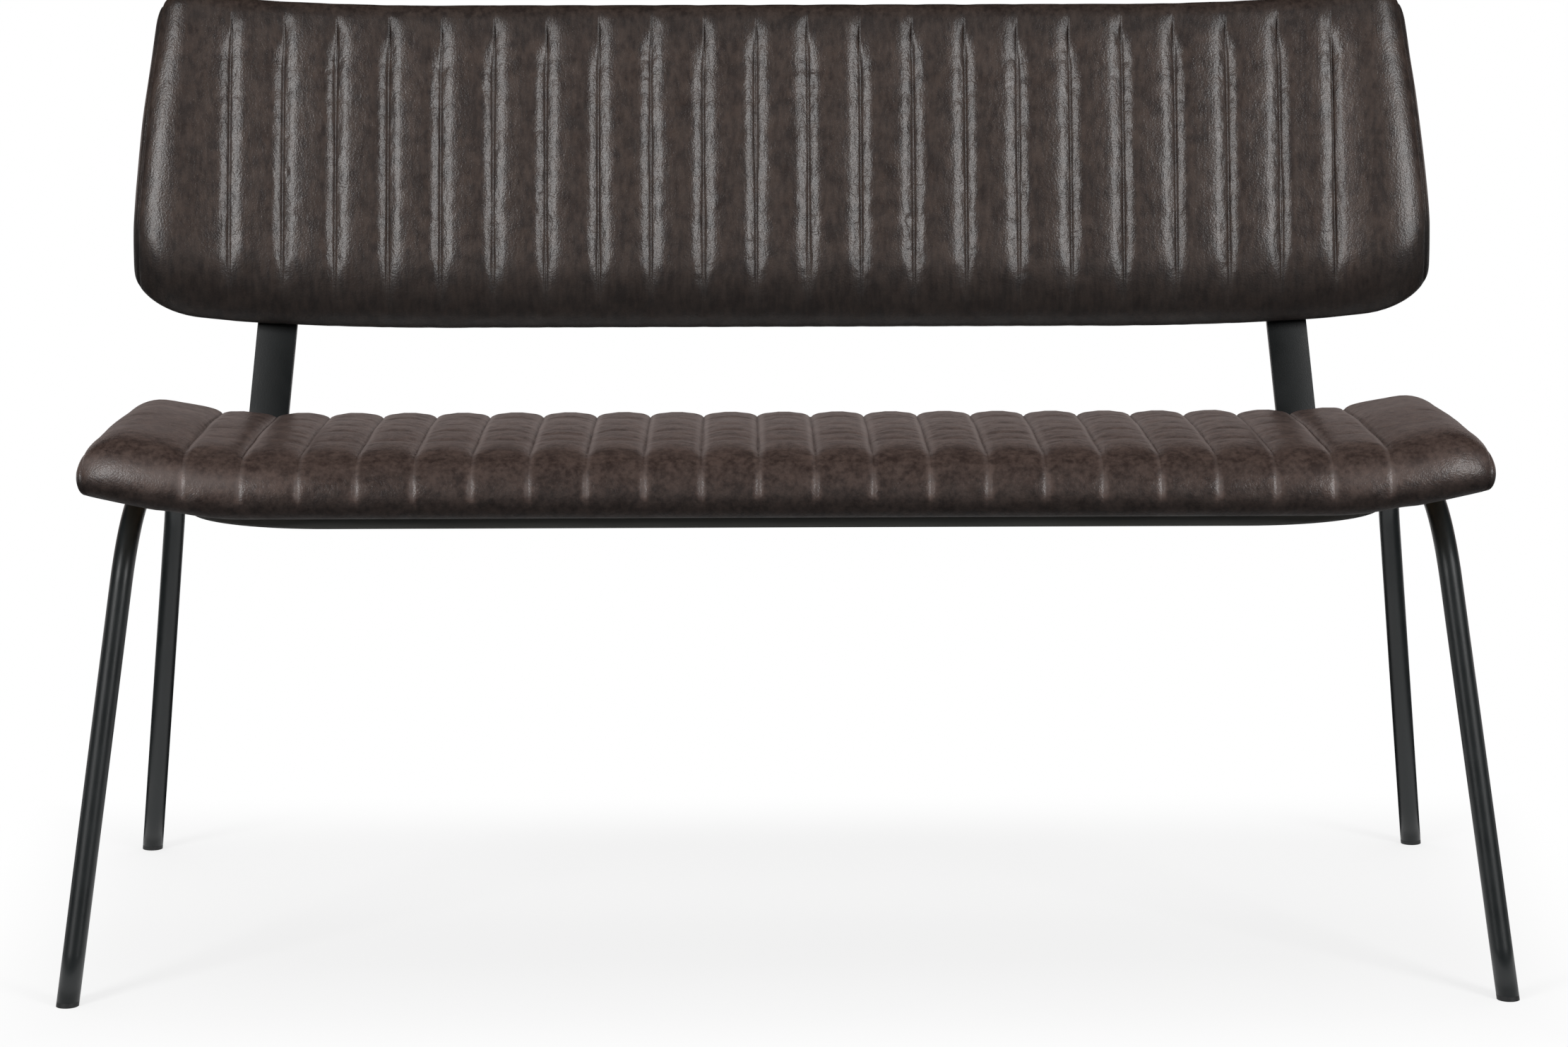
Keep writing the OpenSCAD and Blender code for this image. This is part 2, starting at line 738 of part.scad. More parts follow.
module back_bar() {
    difference() {
        union() {
            seat_frame() {
                translate([bar_x - bar_w / 2, bar_foot_end - bar_foot_l, -bar_t])
                    cube([bar_w, bar_foot_l, bar_t]);
                translate([bar_x, bar_foot_end, bar_bend_r - bar_t / 2])
                    rotate([90, 0, 90])
                        rotate([0, 0, -90])
                            rotate_extrude(angle = bar_turn)
                                translate([bar_bend_r - bar_t / 2, -bar_w / 2])
                                    square([bar_t, bar_w]);
            }
            at_bar_top() {
                translate([-bar_w / 2, -bar_t / 2, -bar_w / 2 * tan(bar_lean)])
                    cube([bar_w, bar_t, bar_upper_l - bar_w / 2 + bar_w / 2 * tan(bar_lean)]);
                translate([0, bar_t / 2, bar_upper_l - bar_w / 2])
                    rotate([90, 0, 0])
                        cylinder(d = bar_w, h = bar_t);
            }
        }
        at_back_bar_bolts()
            bolt_hole(bar_bolt_d, 2 * bar_t);
        at_seat_bar_bolts()
            bolt_hole(bar_bolt_d, 2 * bar_t);
    }
}
module left_back_bar() {
    color(steel_black)
        on_left()
            back_bar();
}
module right_back_bar() {
    color(steel_black)
        back_bar();
}
module seat_bar_bolts() {
    color(zinc_grey)
        on_both()
            at_seat_bar_bolts()
                bolt(bar_bolt_d, bar_t, seat_bar_bolt_l);
}
module seat_bar_inserts() {
    color(zinc_grey)
        on_both()
            at_seat_bar_bolts()
                translate([0, 0, base_panel_t + seat_rise(bar_x)])
                    insert(bar_bolt_d);
}
module back_bar_bolts() {
    color(zinc_grey)
        on_both()
            at_back_bar_bolts()
                bolt(bar_bolt_d, bar_t, back_bar_bolt_l);
}
module back_bar_inserts() {
    color(zinc_grey)
        on_both()
            at_back_bar_bolts()
                translate([0, 0, rear_panel_t])
                    insert(bar_bolt_d);
}
module base_panel_plan(shrink) {
    r = base_panel_r - shrink;
    rounded_plan(base_panel_half - shrink, shrink, base_panel_d - shrink, r, r);
}
module base_panel() {
    color(panel_black)
        difference() {
            seat_frame() {
                linear_extrude(base_panel_t - base_panel_chamfer)
                    base_panel_plan(0);
                hull() {
                    translate([0, 0, base_panel_t - base_panel_chamfer - slice])
                        linear_extrude(slice)
                            base_panel_plan(0);
                    translate([0, 0, base_panel_t - slice])
                        linear_extrude(slice)
                            base_panel_plan(base_panel_chamfer);
                }
            }
            on_both()
                at_seat_bar_bolts()
                    bolt_hole(bar_bolt_d, 2 * base_panel_t);
            at_panel_screws()
                panel_screw_room(bolt_gap);
        }
}
// Countersunk wood screw, or the room for one with a gap
module panel_screw_room(gap) {
    d = panel_screw_d + 2 * gap;
    translate([0, 0, -gap])
        cylinder(d1 = d + panel_screw_d, d2 = d, h = panel_screw_d / 2);
    cylinder(d = d, h = panel_screw_l + gap);
}
module panel_screws() {
    color(zinc_grey)
        at_panel_screws()
            panel_screw_room(0);
}
module seat_board() {
    color(plywood_tan)
        difference() {
            seat_frame()
                seat_core(base_panel_t, base_panel_t + seat_board_t, 0);
            on_both() {
                at_leg_bolts()
                    insert_hole(leg_bolt_d);
                at_seat_bar_bolts()
                    translate([0, 0, base_panel_t + seat_rise(bar_x)])
                        insert_hole(bar_bolt_d);
            }
            at_panel_screws()
                cylinder(d = panel_screw_d + 2 * fit_gap, h = panel_screw_l + fit_gap);
        }
}
module seat_foam() {
    color(foam_cream)
        seat_frame()
            seat_core(base_panel_t + seat_board_t, seat_foam_top, 0);
}
module seat_cover() {
    color(leather_brown)
        seat_frame()
            difference() {
                loft([for (x = cover_stations(seat_half)) seat_section(x)]);
                seat_core(0, seat_foam_top + soft_gap, soft_gap);
            }
}
module back_board() {
    color(plywood_tan)
        difference() {
            back_frame()
                back_core(back_board_front, back_d, back_side_pad);
            on_both()
                at_back_bar_bolts()
                    translate([0, 0, rear_panel_t])
                        insert_hole(bar_bolt_d);
        }
}
module back_foam() {
    color(foam_cream)
        back_frame()
            back_core(back_foam_front, back_board_front, back_side_pad);
}
module back_cover() {
    color(leather_brown)
        back_frame()
            difference() {
                loft([for (x = cover_stations(back_half)) back_section(x)]);
                back_core(back_foam_front - soft_gap, back_d + far / 4, back_side_pad - soft_gap);
            }
}
module back_rear_panel() {
    color(leather_brown)
        difference() {
            back_frame()
                back_core(back_d, back_d + rear_panel_t, rear_panel_inset);
            on_both()
                at_back_bar_bolts()
                    bolt_hole(bar_bolt_d, 2 * rear_panel_t);
        }
}

left_leg_frame();
right_leg_frame();
left_leg_plates();
right_leg_plates();
front_left_foot_cap();
front_right_foot_cap();
rear_left_foot_cap();
rear_right_foot_cap();
leg_bolts();
leg_inserts();
left_back_bar();
right_back_bar();
seat_bar_bolts();
seat_bar_inserts();
back_bar_bolts();
back_bar_inserts();
base_panel();
panel_screws();
seat_board();
seat_foam();
seat_cover();
back_board();
back_foam();
back_cover();
back_rear_panel();
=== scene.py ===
import json

import bpy
import numpy as np
from mathutils import Matrix, Vector


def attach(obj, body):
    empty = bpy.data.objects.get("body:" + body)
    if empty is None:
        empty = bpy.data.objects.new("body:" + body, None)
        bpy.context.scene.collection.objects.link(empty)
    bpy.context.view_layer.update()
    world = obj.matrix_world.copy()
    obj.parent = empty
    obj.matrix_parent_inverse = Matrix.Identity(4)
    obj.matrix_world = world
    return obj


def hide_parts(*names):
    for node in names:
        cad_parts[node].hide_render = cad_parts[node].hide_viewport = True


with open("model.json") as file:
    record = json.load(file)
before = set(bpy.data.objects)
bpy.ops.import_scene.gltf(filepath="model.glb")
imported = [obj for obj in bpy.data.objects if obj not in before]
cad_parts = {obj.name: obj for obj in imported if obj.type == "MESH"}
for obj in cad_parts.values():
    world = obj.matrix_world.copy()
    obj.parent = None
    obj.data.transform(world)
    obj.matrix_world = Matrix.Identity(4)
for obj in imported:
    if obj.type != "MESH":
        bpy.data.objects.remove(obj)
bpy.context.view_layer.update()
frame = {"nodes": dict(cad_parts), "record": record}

# Dining bench: looks, light and camera. Shapes are worked out in millimetres and degrees, like the part's
# source, and turned into metres when a mesh is made.
MM = 0.001
scene = bpy.context.scene

# Sizes shared with the part's source
foot_span_x, foot_span_y = 1270, 580
seat_w, seat_d = 1249, 355
seat_edge_h, seat_edge_y, seat_tilt = 415, -235, 1.8
cushion_h, seat_overhang = 55, 20
seat_front_roll, seat_rear_roll = 30, 24
seat_front_corner_r, seat_rear_corner_r = 42, 75
seat_side_pad, seat_tuck, seat_tuck_h, seat_crown = 17, 6, 18, 2
back_w, back_h, back_d, back_tilt = 1244, 312, 43, 16
back_y, back_z = 138, 551
back_low_roll_d, back_top_roll, back_end_roll = 32, 17, 28
back_low_corner_r, back_low_corner_h, back_top_corner_r = 62, 40, 32
back_narrowing, back_lean_start = 24, 0.25
back_smile, back_smile_x, back_side_pad = 16, 320, 24
back_crown, back_rim_inset = 2, 5
channel_pitch, channel_count, quilt_t = 50.4, 21, 13
seat_flat_w, back_flat_w, board_bend_r, board_bend_a = 960, 980, 300, 10
base_panel_t, seat_board_t, back_board_t = 12, 12, 12
base_panel_half = 538
rear_panel_t, rear_panel_inset = 3, 12
tube_d, tube_wall, tube_bend_r = 20, 1.5, 95
front_lean, rear_lean, rail_x, leg_plate_t = 17, 13, 586, 3
foot_cap_t, soft_gap, weld_gap = 4, 0.3, 0.15
bar_w, bar_t, bar_bend_r, bar_x, bar_lean = 38, 8, 80, 495, 5
bar_reach, bar_foot_l = 205, 190

# Where the leather rolls away more gently than the source's solids do: the seat's ends, its front, its front
# and rear corners, the back's ends and the height of its lower roll
seat_end_roll, seat_end_puff, seat_end_tuck = 43, 0.6, 9
seat_front_roll_w, seat_corner_w, seat_corner_d, seat_rear_turn_r = 86, 120, 25, 62
back_end_roll_w, back_turn_h = 44, 56
# How far the seat cover wraps below its board ahead of the base panel, and beyond the panel's ends
seat_wrap, seat_end_wrap = 1.8, 3.2
# Front of the seat from its flat top to its rim: angles of the face above the level, and how far along the
# leather each is reached
seat_front_turn = ((90, 0), (86, 30), (80, 22), (68, 14), (38, 13), (14, 22), (-10, 12), (-70, 10))

seat_half = seat_w / 2
seat_front = -seat_overhang
seat_rear = seat_front + seat_d
seat_rim = base_panel_t + soft_gap
seat_top = base_panel_t + cushion_h
seat_core_half = seat_half - seat_side_pad
seat_core_front = seat_front + seat_side_pad + 1
seat_core_rear = seat_rear - seat_side_pad
seat_core_front_r = seat_front_corner_r - seat_side_pad + 2
seat_core_rear_r = seat_rear_corner_r - seat_side_pad + 2
seat_foam_top = seat_top - quilt_t
back_half = back_w / 2
back_foam_front = quilt_t
back_board_front = back_d - back_board_t
outer_seam = channel_pitch * channel_count / 2
seam_xs = (np.arange(channel_count + 1) - channel_count / 2) * channel_pitch


# Helpers for shapes
def clamp01(v):
    return np.clip(v, 0.0, 1.0)


def ease(t):
    t = clamp01(t)
    return t * t * (3 - 2 * t)


def step(v, start, end):
    """Smooth step from 0 at start to 1 at end, which may lie below start."""
    return ease((v - start) / (end - start))


def mix(a, b, share):
    return a + (b - a) * share


def hill(v, centre, width):
    """Smooth hill of height 1 round centre."""
    return np.exp(-(((v - centre) / width) ** 2))


def groove(d, width):
    """Section of a narrow groove: 1 in its middle, 0 from width on."""
    return (1 - clamp01(d / width) ** 2) ** 2


def corner_drop(e, r):
    """How far a round corner of radius r has dropped at distance e from its end."""
    e = np.clip(e, 0, r)
    return r - np.sqrt(np.maximum(r * r - (r - e) ** 2, 0))


def board_rise(x, flat_w):
    """Height by which a moulded board has turned up at x."""
    a = np.radians(board_bend_a)
    run = board_bend_r * np.sin(a)
    d = np.maximum(np.abs(x) - flat_w / 2, 0)
    bent = board_bend_r - np.sqrt(board_bend_r**2 - np.minimum(d, run) ** 2)
    return bent + np.maximum(d - run, 0) * np.tan(a)


def tilted(points, y0, z0, tilt):
    """Points of a frame that leans rearward by tilt degrees at (y0, z0), in the object's frame."""
    t = np.radians(tilt)
    x, y, z = points[..., 0], points[..., 1], points[..., 2]
    return np.stack([x, y0 + y * np.cos(t) + z * np.sin(t), z0 - y * np.sin(t) + z * np.cos(t)], -1)


def seat_to_object(points):
    return tilted(points, seat_edge_y, seat_edge_h, seat_tilt)


def back_to_object(points):
    return tilted(points, back_y, back_z, back_tilt)


def turned_profile(turn, n):
    """Shares of the depth and of the height along a curve whose face turns through the given angles."""
    samples, reach = 600, 30
    angles, lengths = np.array(turn, float).T
    s = np.linspace(0, lengths.sum(), samples)
    a = np.radians(np.interp(s, np.cumsum(lengths), angles))
    window = np.full(2 * reach + 1, 1 / (2 * reach + 1))
    for _ in range(2):
        a = np.convolve(np.pad(a, reach, mode="edge"), window, mode="valid")
    forward = np.concatenate([[0], np.cumsum(np.sin(a[1:]))])
    down = np.concatenate([[0], np.cumsum(np.cos(a[1:]))])
    at = np.linspace(0, lengths.sum(), n)
    return np.interp(at, s, forward / forward.max()), np.interp(at, s, down / down[-1])


def quarter(cy, cz, ry, rz, a0, a1, n):
    """n points of an ellipse's quarter for every station: arrays of shape (stations, n)."""
    a = np.radians(np.linspace(a0, a1, n))[None, :]
    return cy[:, None] + ry[:, None] * np.cos(a), cz[:, None] + rz[:, None] * np.sin(a)


def between(y0, z0, y1, z1, n, bow=(0, 0), ends=False):
    """Points from (y0, z0) to (y1, z1), bowed by a vector, without the two ends unless they are asked for."""
    t = np.linspace(0, 1, n) if ends else np.linspace(0, 1, n + 2)[1:-1]
    share = np.sin(np.pi * t)[None, :] ** 2
    y = mix(y0[:, None], y1[:, None], t) + bow[0] * share
    return y, mix(z0[:, None], z1[:, None], t) + bow[1] * share


def joined(stretches):
    """Outline of every station, as its y and z, from stretches that follow each other."""
    return [np.concatenate(values, 1) for values in zip(*stretches)]


def hollow(a0, a1, b0, b1):
    """Outline of a cover's hollow: from its rim at b0 to b1, along from a0 to a1 and back to the rim."""
    return joined([between(a0, b0, a0, b1, 5, ends=True), between(a0, b1, a1, b1, 12),
                   between(a1, b1, a1, b0, 5, ends=True)])


def value_noise(u, v, seed, octaves=1):
    """Smooth noise between -1 and 1 over a plane whose unit is one cell."""
    rows, columns, gain, finer = 97, 89, 0.5, 2.03
    total, weight, scale = 0.0, 0.0, 1.0
    for k in range(octaves):
        table = np.random.default_rng(seed + 101 * k).uniform(-1, 1, (rows, columns))
        a, b = u * scale, v * scale
        i, j = np.floor(a).astype(int), np.floor(b).astype(int)
        s, t = ease(a - i), ease(b - j)
        near, far = [table[i % rows, q % columns] * (1 - s) + table[(i + 1) % rows, q % columns] * s
                     for q in (j, j + 1)]
        total = total + gain**k * (near * (1 - t) + far * t)
        weight += gain**k
        scale *= finer
    return total / weight


def arc_length(grid):
    """Distance along each station's outline, in millimetres."""
    gaps = np.linalg.norm(np.diff(grid, axis=1), axis=-1)
    return np.concatenate([np.zeros((len(grid), 1)), np.cumsum(gaps, 1)], 1)


def outward_normals(grid):
    """Unit normals of a cushion's outside, by central differences."""
    n = np.cross(np.gradient(grid, axis=1), np.gradient(grid, axis=0))
    return n / np.maximum(np.linalg.norm(n, axis=-1, keepdims=True), 1e-9)


def both_sides(right):
    """Places along x from those on the right hand side."""
    return np.unique(np.concatenate([-right, right]))


def new_object(name, data):
    obj = bpy.data.objects.new(name, data)
    scene.collection.objects.link(obj)
    return obj


def mesh_object(name, points, faces):
    """Object from points in metres."""
    mesh = bpy.data.meshes.new(name)
    mesh.from_pydata(points, [], faces)
    return new_object(name, mesh)


def solid_object(name, verts, faces):
    """Smooth object from points in millimetres and face index arrays, turned the right way out."""
    volume = 0.0
    for f in faces:
        for k in range(1, f.shape[1] - 1):
            a, b, c = verts[f[:, 0]], verts[f[:, k]], verts[f[:, k + 1]]
            volume += np.einsum("ij,ij->i", a, np.cross(b, c)).sum()
    if volume < 0:
        faces = [f[:, ::-1] for f in faces]
    obj = mesh_object(name, (verts * MM).tolist(), [row for f in faces for row in f.tolist()])
    obj.data.polygons.foreach_set("use_smooth", np.full(len(obj.data.polygons), True))
    obj.data.update()
    return obj


def ring_faces(index):
    """Quads between closed rings of points, given by a row of point numbers for each ring."""
    a, b = index[:-1], index[1:]
    return np.stack([a, b, np.roll(b, -1, 1), np.roll(a, -1, 1)], -1).reshape(-1, 4)


def capped(loops, bulge=0, rings=10):
    """Points and faces of loops whose two ends are closed by shrinking rings that bulge outward along x."""
    stations, n = loops.shape[:2]
    index = np.arange(stations * n).reshape(stations, n)
    verts, faces, count = [loops.reshape(-1, 3)], [ring_faces(index)], index.size
    for end, out in ((0, -bulge), (-1, bulge)):
        centre, push = loops[end].mean(0), np.array([out, 0, 0])
        for k in range(1, rings):
            f = 1 - k / rings
            verts.append(centre + (loops[end] - centre) * f + push * (1 - f * f))
        verts.append((centre + push)[None])
        cap = np.concatenate([index[end], np.arange(n * (rings - 1)) + count]).reshape(rings, n)
        count += n * (rings - 1)
        fan = np.stack([cap[-1], np.full(n, count), np.roll(cap[-1], -1)], -1)
        faces += [f if end == 0 else f[:, ::-1] for f in (ring_faces(cap), fan)]
        count += 1
    return np.concatenate(verts), faces


# Channels: places of the mesh's stations from each seam and from each end
seam_steps = np.array([0, 0.8, 1.7, 2.7, 3.8, 5, 6.4, 8, 10, 12.6, 16, 20])
end_steps = np.array([0.25, 0.8, 1.6, 2.6, 3.6, 4.4, 5, 5.5, 6, 6.5, 7.1, 8, 9.3, 11, 13, 15.5, 18.5, 22, 26,
                      31, 36, 42, 50, 58, 64])
closest_stations, wall_step = 0.3, 0.02


def stations_for(half, wall):
    """Places along x, close together at the seams and the ends, and two at the end wall of the hollow."""
    walls = np.array([wall, wall + wall_step])
    right = [half - end_steps, walls]
    for s in seam_xs[seam_xs > 0]:
        right += [s + seam_steps, s - seam_steps[1:]]
    right = np.unique(np.round(np.concatenate(right), 3))
    right = right[(right > 0.05) & (right < half)]
    keep = np.concatenate([[True], np.diff(right) > closest_stations])
    for x in walls:
        keep |= np.abs(right - x) < 1e-6
    return both_sides(right[keep])


def nearest_seam(x):
    """Distance to the nearest seam, its number, and whether x lies on the seam's side toward the middle."""
    gap = np.abs(x[:, None] - seam_xs[None, :])
    k = gap.argmin(1)
    inward = np.abs(x) < np.abs(seam_xs[k])
    return gap[np.arange(len(x)), k][:, None], k[:, None], inward[:, None]


def wavering(d, k, length, seed):
    """Distance from a seam that isn't sewn quite straight."""
    waver = 0.7 * value_noise(k * 7.3 + 0.5, length / 60, seed)
    return np.abs(d + waver * np.exp(-d / 12))


def set_painted_light_and_dullness(obj, n, painted_light_and_shade, dull):
    """Stores how much lighter or darker the leather is painted for light and shade, and how dull it is, at
    each outside point, the first of every n.
    """
    for name, outer in (("painted_light_and_shade", painted_light_and_shade), ("dull", np.maximum(dull, clamp01(-painted_light_and_shade / 0.7)))):
        whole = np.pad(outer, ((0, 0), (0, n - outer.shape[1]))).ravel()
        values = np.pad(whole, (0, len(obj.data.vertices) - whole.size))
        obj.data.attributes.new(name, "FLOAT", "POINT").data.foreach_set("value", values)


# Cloth pass: the leather of each cushion is laid over its form as a sheet, held at its seams and edges, and
# puffed up by pressure. A share of its movement is added to the finer surface, less of it at the ends
cloth_cell, cloth_rows, cloth_frames = channel_pitch / 8, 68, 20
cloth_pressure, cloth_slack, cloth_limit, cloth_quality = 4.0, 0.006, 2.5, 5


def resampled(grid, n):
    """Every station's outline at n evenly spaced places along its length."""
    at = arc_length(grid)
    at = at / at[:, -1:]
    t = np.linspace(0, 1, n)
    return np.stack([[np.interp(t, a, row[:, c]) for a, row in zip(at, grid)] for c in range(3)], -1)


def puffed_sheet(name, sheet, held):
    """Movement in millimetres of a sheet of points that a cloth simulation puffs up; held points stay."""
    rows, cols = sheet.shape[:2]
    index = np.arange(rows * cols).reshape(rows, cols)
    quads = np.stack([index[:-1, 1:], index[1:, 1:], index[1:, :-1], index[:-1, :-1]], -1).reshape(-1, 4)
    obj = mesh_object(name, (sheet.reshape(-1, 3) * MM).tolist(), quads.tolist())
    obj.vertex_groups.new(name="held").add(index[held].tolist(), 1.0, "REPLACE")
    cloth = obj.modifiers.new("cloth", "CLOTH")
    settings = cloth.settings
    settings.quality, settings.vertex_group_mass = cloth_quality, "held"
    settings.use_pressure, settings.uniform_pressure_force = True, cloth_pressure
    settings.shrink_min, settings.effector_weights.gravity = -cloth_slack, 0
    cloth.collision_settings.use_collision = False
    cloth.point_cache.frame_start, cloth.point_cache.frame_end = 1, cloth_frames
    for moment in range(1, cloth_frames + 1):
        scene.frame_set(moment)
    done = obj.evaluated_get(bpy.context.evaluated_depsgraph_get())
    moved = np.empty(rows * cols * 3)
    done.data.vertices.foreach_get("co", moved)
    moved = moved.reshape(rows, cols, 3) / MM - sheet
    scene.frame_set(1)
    # Takes the object along
    bpy.data.meshes.remove(obj.data)
    far = np.linalg.norm(moved, axis=-1, keepdims=True)
    return moved * np.minimum(1, cloth_limit / np.maximum(far, 1e-9))


def spline_at(field, u, v):
    """Smooth values of a field of vectors at fractional rows u and columns v."""
    total = np.zeros(u.shape + field.shape[2:])
    i, j = np.floor(u).astype(int), np.floor(v).astype(int)
    weights = []
    for f in (u - i, v - j):
        weights.append(((1 - f) ** 3 / 6, (3 * f**3 - 6 * f**2 + 4) / 6,
                        (-3 * f**3 + 3 * f**2 + 3 * f + 1) / 6, f**3 / 6))
    for a in range(4):
        row = np.clip(i + a - 1, 0, field.shape[0] - 1)
        for b in range(4):
            col = np.clip(j + b - 1, 0, field.shape[1] - 1)
            total += (weights[0][a] * weights[1][b])[..., None] * field[row, col]
    return total


def cloth_movement(name, outer, half, xs, length, seams, kept):
    """Movement of the leather at every point of a cushion.

    The seams keep the given distances from the two rims. Of the movement, the first share is kept between the
    outermost seams and the second beyond them.
    """
    count = int(half / cloth_cell)
    coarse = np.arange(-count, count + 1) * cloth_cell
    sheet = resampled(outer(coarse), cloth_rows)
    along = arc_length(sheet)
    gap, _, _ = nearest_seam(coarse)
    held = (gap < 0.1) & (along > seams[0]) & (along < along[:, -1:] - seams[1])
    held[:2] = held[-2:] = True
    held[:, :2] = held[:, -2:] = True
    moved = puffed_sheet(name, sheet, held)
    row = np.broadcast_to(xs[:, None] / cloth_cell + count, length.shape)
    column = length / length[:, -1:] * (cloth_rows - 1)
    share = mix(*kept, step(np.abs(xs), outer_seam - 6, outer_seam + 8))
    return spline_at(moved, row, column) * share[:, None, None]


def make_cover(name, cushion, outer, inner, relief, to_object, half, wall, seams, kept, end_seam_d,
               end_start):
    """Closed leather cover: its form with the channels and the cloth's movement added, round its hollow.

    The end seam fades out before the rims, and the end panels bulge as far as it is deep.
    """
    end_seam_e, end_seam_w = 5.5, 1.1
    xs = stations_for(half, wall)
    grid = outer(xs)
    length = arc_length(grid)
    rest = length[:, -1:] - length
    e = half - np.abs(xs)[:, None]
    offset, painted_light_and_shade, dull = relief(xs, e, length, rest)
    room = step(length, end_start, end_start + 8) * step(rest, end_start, end_start + 8)
    offset = offset - end_seam_d * hill(e, end_seam_e, end_seam_w) * room
    movement = cloth_movement(cushion, outer, half, xs, length, seams, kept)
    outside = grid + outward_normals(grid) * offset[..., None] + movement
    loops = np.concatenate([outside, inner(xs)], 1)
    verts, faces = capped(loops, end_seam_d)
    obj = solid_object(name, to_object(verts), faces)
    set_painted_light_and_dullness(obj, loops.shape[1], painted_light_and_shade, dull)
    return obj


def flank(d, width, depth, notch_w, notch_d):
    """Depth of a sewn seam at distance d: two flanks that steepen inward and a narrow notch between them."""
    return depth * (1 - clamp01(d / width)) ** 1.8 + notch_d * groove(d, notch_w)


# Seat cover: the most of the height that its rolls and its tuck may take, and how far from the front rim the
# leather belongs to the front
roll_share, tuck_share = 0.6, 0.45
front_start, front_full = 108, 46
# Depth of the channels between two seams and widths and depths at a seam, on the top and on the front
seat_arch, front_arch = 2.6, 0.7
seat_flank_w, seat_flank_d, seat_notch_w, seat_notch_d = 8, 1.5, 1.8, 0.8
front_groove_w, front_groove_d = 3.2, 0.4


def seat_outer(xs):
    """Outside of the seat cushion without channels, station by station from the rear rim to the front."""
    e = seat_half - np.abs(xs)
    puff = seat_end_puff * step(np.abs(xs), outer_seam - 2 * channel_pitch, outer_seam)
    top = seat_top - corner_drop(e, seat_end_roll) + puff
    front = seat_front + seat_corner_d / seat_corner_w * corner_drop(e, seat_corner_w)
    rear = seat_rear - corner_drop(e, seat_rear_turn_r)
    room = roll_share * (top - seat_rim)
    roll = np.minimum(seat_rear_roll, room)
    front_roll = seat_front_roll_w * np.minimum(1, room / seat_front_roll)
    forward, down = turned_profile(seat_front_turn, 58)
    low = seat_rim + np.minimum(seat_tuck_h, tuck_share * room)
    tuck = np.full_like(xs, seat_tuck)
    y, z = joined([
        quarter(rear - tuck, low, tuck, low - seat_rim, -90, 0, 10),
        between(rear, low, rear, top - roll, 3),
        quarter(rear - roll, top - roll, roll, roll, 0, 90, 14),
        between(rear - roll, top, front + front_roll, top, 80, bow=(0, seat_crown)),
        (front[:, None] + front_roll[:, None] * (1 - forward), mix(top[:, None], seat_rim, down)),
    ])
    low_share = clamp01((seat_rim + seat_tuck_h - z) / seat_tuck_h)
    ahead = step(y, seat_front + 60, seat_front + 20)
    beyond = step(np.abs(xs), base_panel_half + 6, base_panel_half + 26)[:, None]
    z = z - mix(ahead * seat_wrap, seat_end_wrap, beyond) * low_share**1.5
    x = xs[:, None] * (1 - (1 - np.sqrt(1 - low_share**2)) * seat_end_tuck / seat_half)
    return np.stack([x, y, z + board_rise(xs, seat_flat_w)[:, None]], -1)


def seat_inner(xs):
    """Hollow for the board and foam, from the front rim up, rearward and down; flat beyond the board."""
    e = seat_core_half + soft_gap - np.abs(xs)
    inside = np.maximum(e, 0)
    front = seat_core_front - soft_gap + corner_drop(inside, seat_core_front_r)
    rear = seat_core_rear + soft_gap - corner_drop(inside, seat_core_rear_r)
    rim = np.full_like(xs, seat_rim)
    top = np.where(e >= 0, seat_foam_top + soft_gap, seat_rim)
    y, z = hollow(front, rear, rim, top)
    past = clamp01(-e / (seat_half - seat_core_half))
    x = np.sign(xs) * (np.abs(xs) - seat_end_tuck * past)
    return np.stack([np.broadcast_to(x[:, None], y.shape), y, z + board_rise(xs, seat_flat_w)[:, None]], -1)


def seat_relief(xs, e, length, rest):
    """How far the leather of the seat stands off its form, its painted light and shade, and how dull it is.
    """
    d, k, inward = nearest_seam(xs)
    # Channels fade out toward both rims, and are shallower on the front than on the top
    share = step(length, 0, 16) * step(rest, 8, 30)
    front = step(rest, front_start, front_full)
    seam_d = wavering(d, k, length, seed=5)
    arch = mix(seat_arch, front_arch, front) * (1 - clamp01(seam_d / (channel_pitch / 2))) ** 2
    on_top = flank(seam_d, seat_flank_w, seat_flank_d, seat_notch_w, seat_notch_d)
    offset = -share * (arch + mix(on_top, front_groove_d * groove(seam_d, front_groove_w), front))
    # Small gathers across each seam, and a soft unevenness of the padding
    gather = value_noise(k * 11.1 + xs[:, None] / 9, length / 4.6, seed=21, octaves=2)
    offset += share * mix(0.4, 0.2, front) * gather * np.exp(-d / 5)
    uneven = value_noise(xs[:, None] / 37, length / 60, seed=31, octaves=2)
    offset += mix(0.25, 0.55, front) * uneven * step(length, 0, 30) * step(rest, 0, 30)
    # Painted highlight beside each seam, painted shade in the seam and toward the front rim, and the top
    # painted lighter than the front
    outward_highlight = (0.9 - 0.6 * clamp01(np.abs(seam_xs[k]) / 380)) * (1 - 0.6 * front)
    beside = hill(d, 3.6 - 1.8 * front, 2.4) * np.where(inward, 1.4 - 0.8 * front, outward_highlight)
    painted_light_and_shade = share * (beside - 0.4 * (1 - front) * hill(d, 0, 1.1)) + 0.55 * (1 - front)
    painted_light_and_shade -= 0.6 * step(rest, 36, 10)
    # A painted highlight at the foot of each front seam, wider toward the rim
    spot = step(rest, 54, 32) * step(rest, 16, 25) * hill(d, 0, 1.6 + 1.8 * step(rest, 50, 26))
    painted_light_and_shade += (1.4 + 0.5 * value_noise(k * 4.7 + 0.2, k * 0 + 0.3, seed=27)) * spot
    # Painted highlight on the ends along the front's widest place, stronger on the left one
    painted_light_and_shade += np.where(xs < 0, 1.7, 1.0)[:, None] * step(np.abs(xs), 390, 540)[:, None] * hill(rest, 37, 11)
    return offset, painted_light_and_shade, 0.45 * (1 - front)


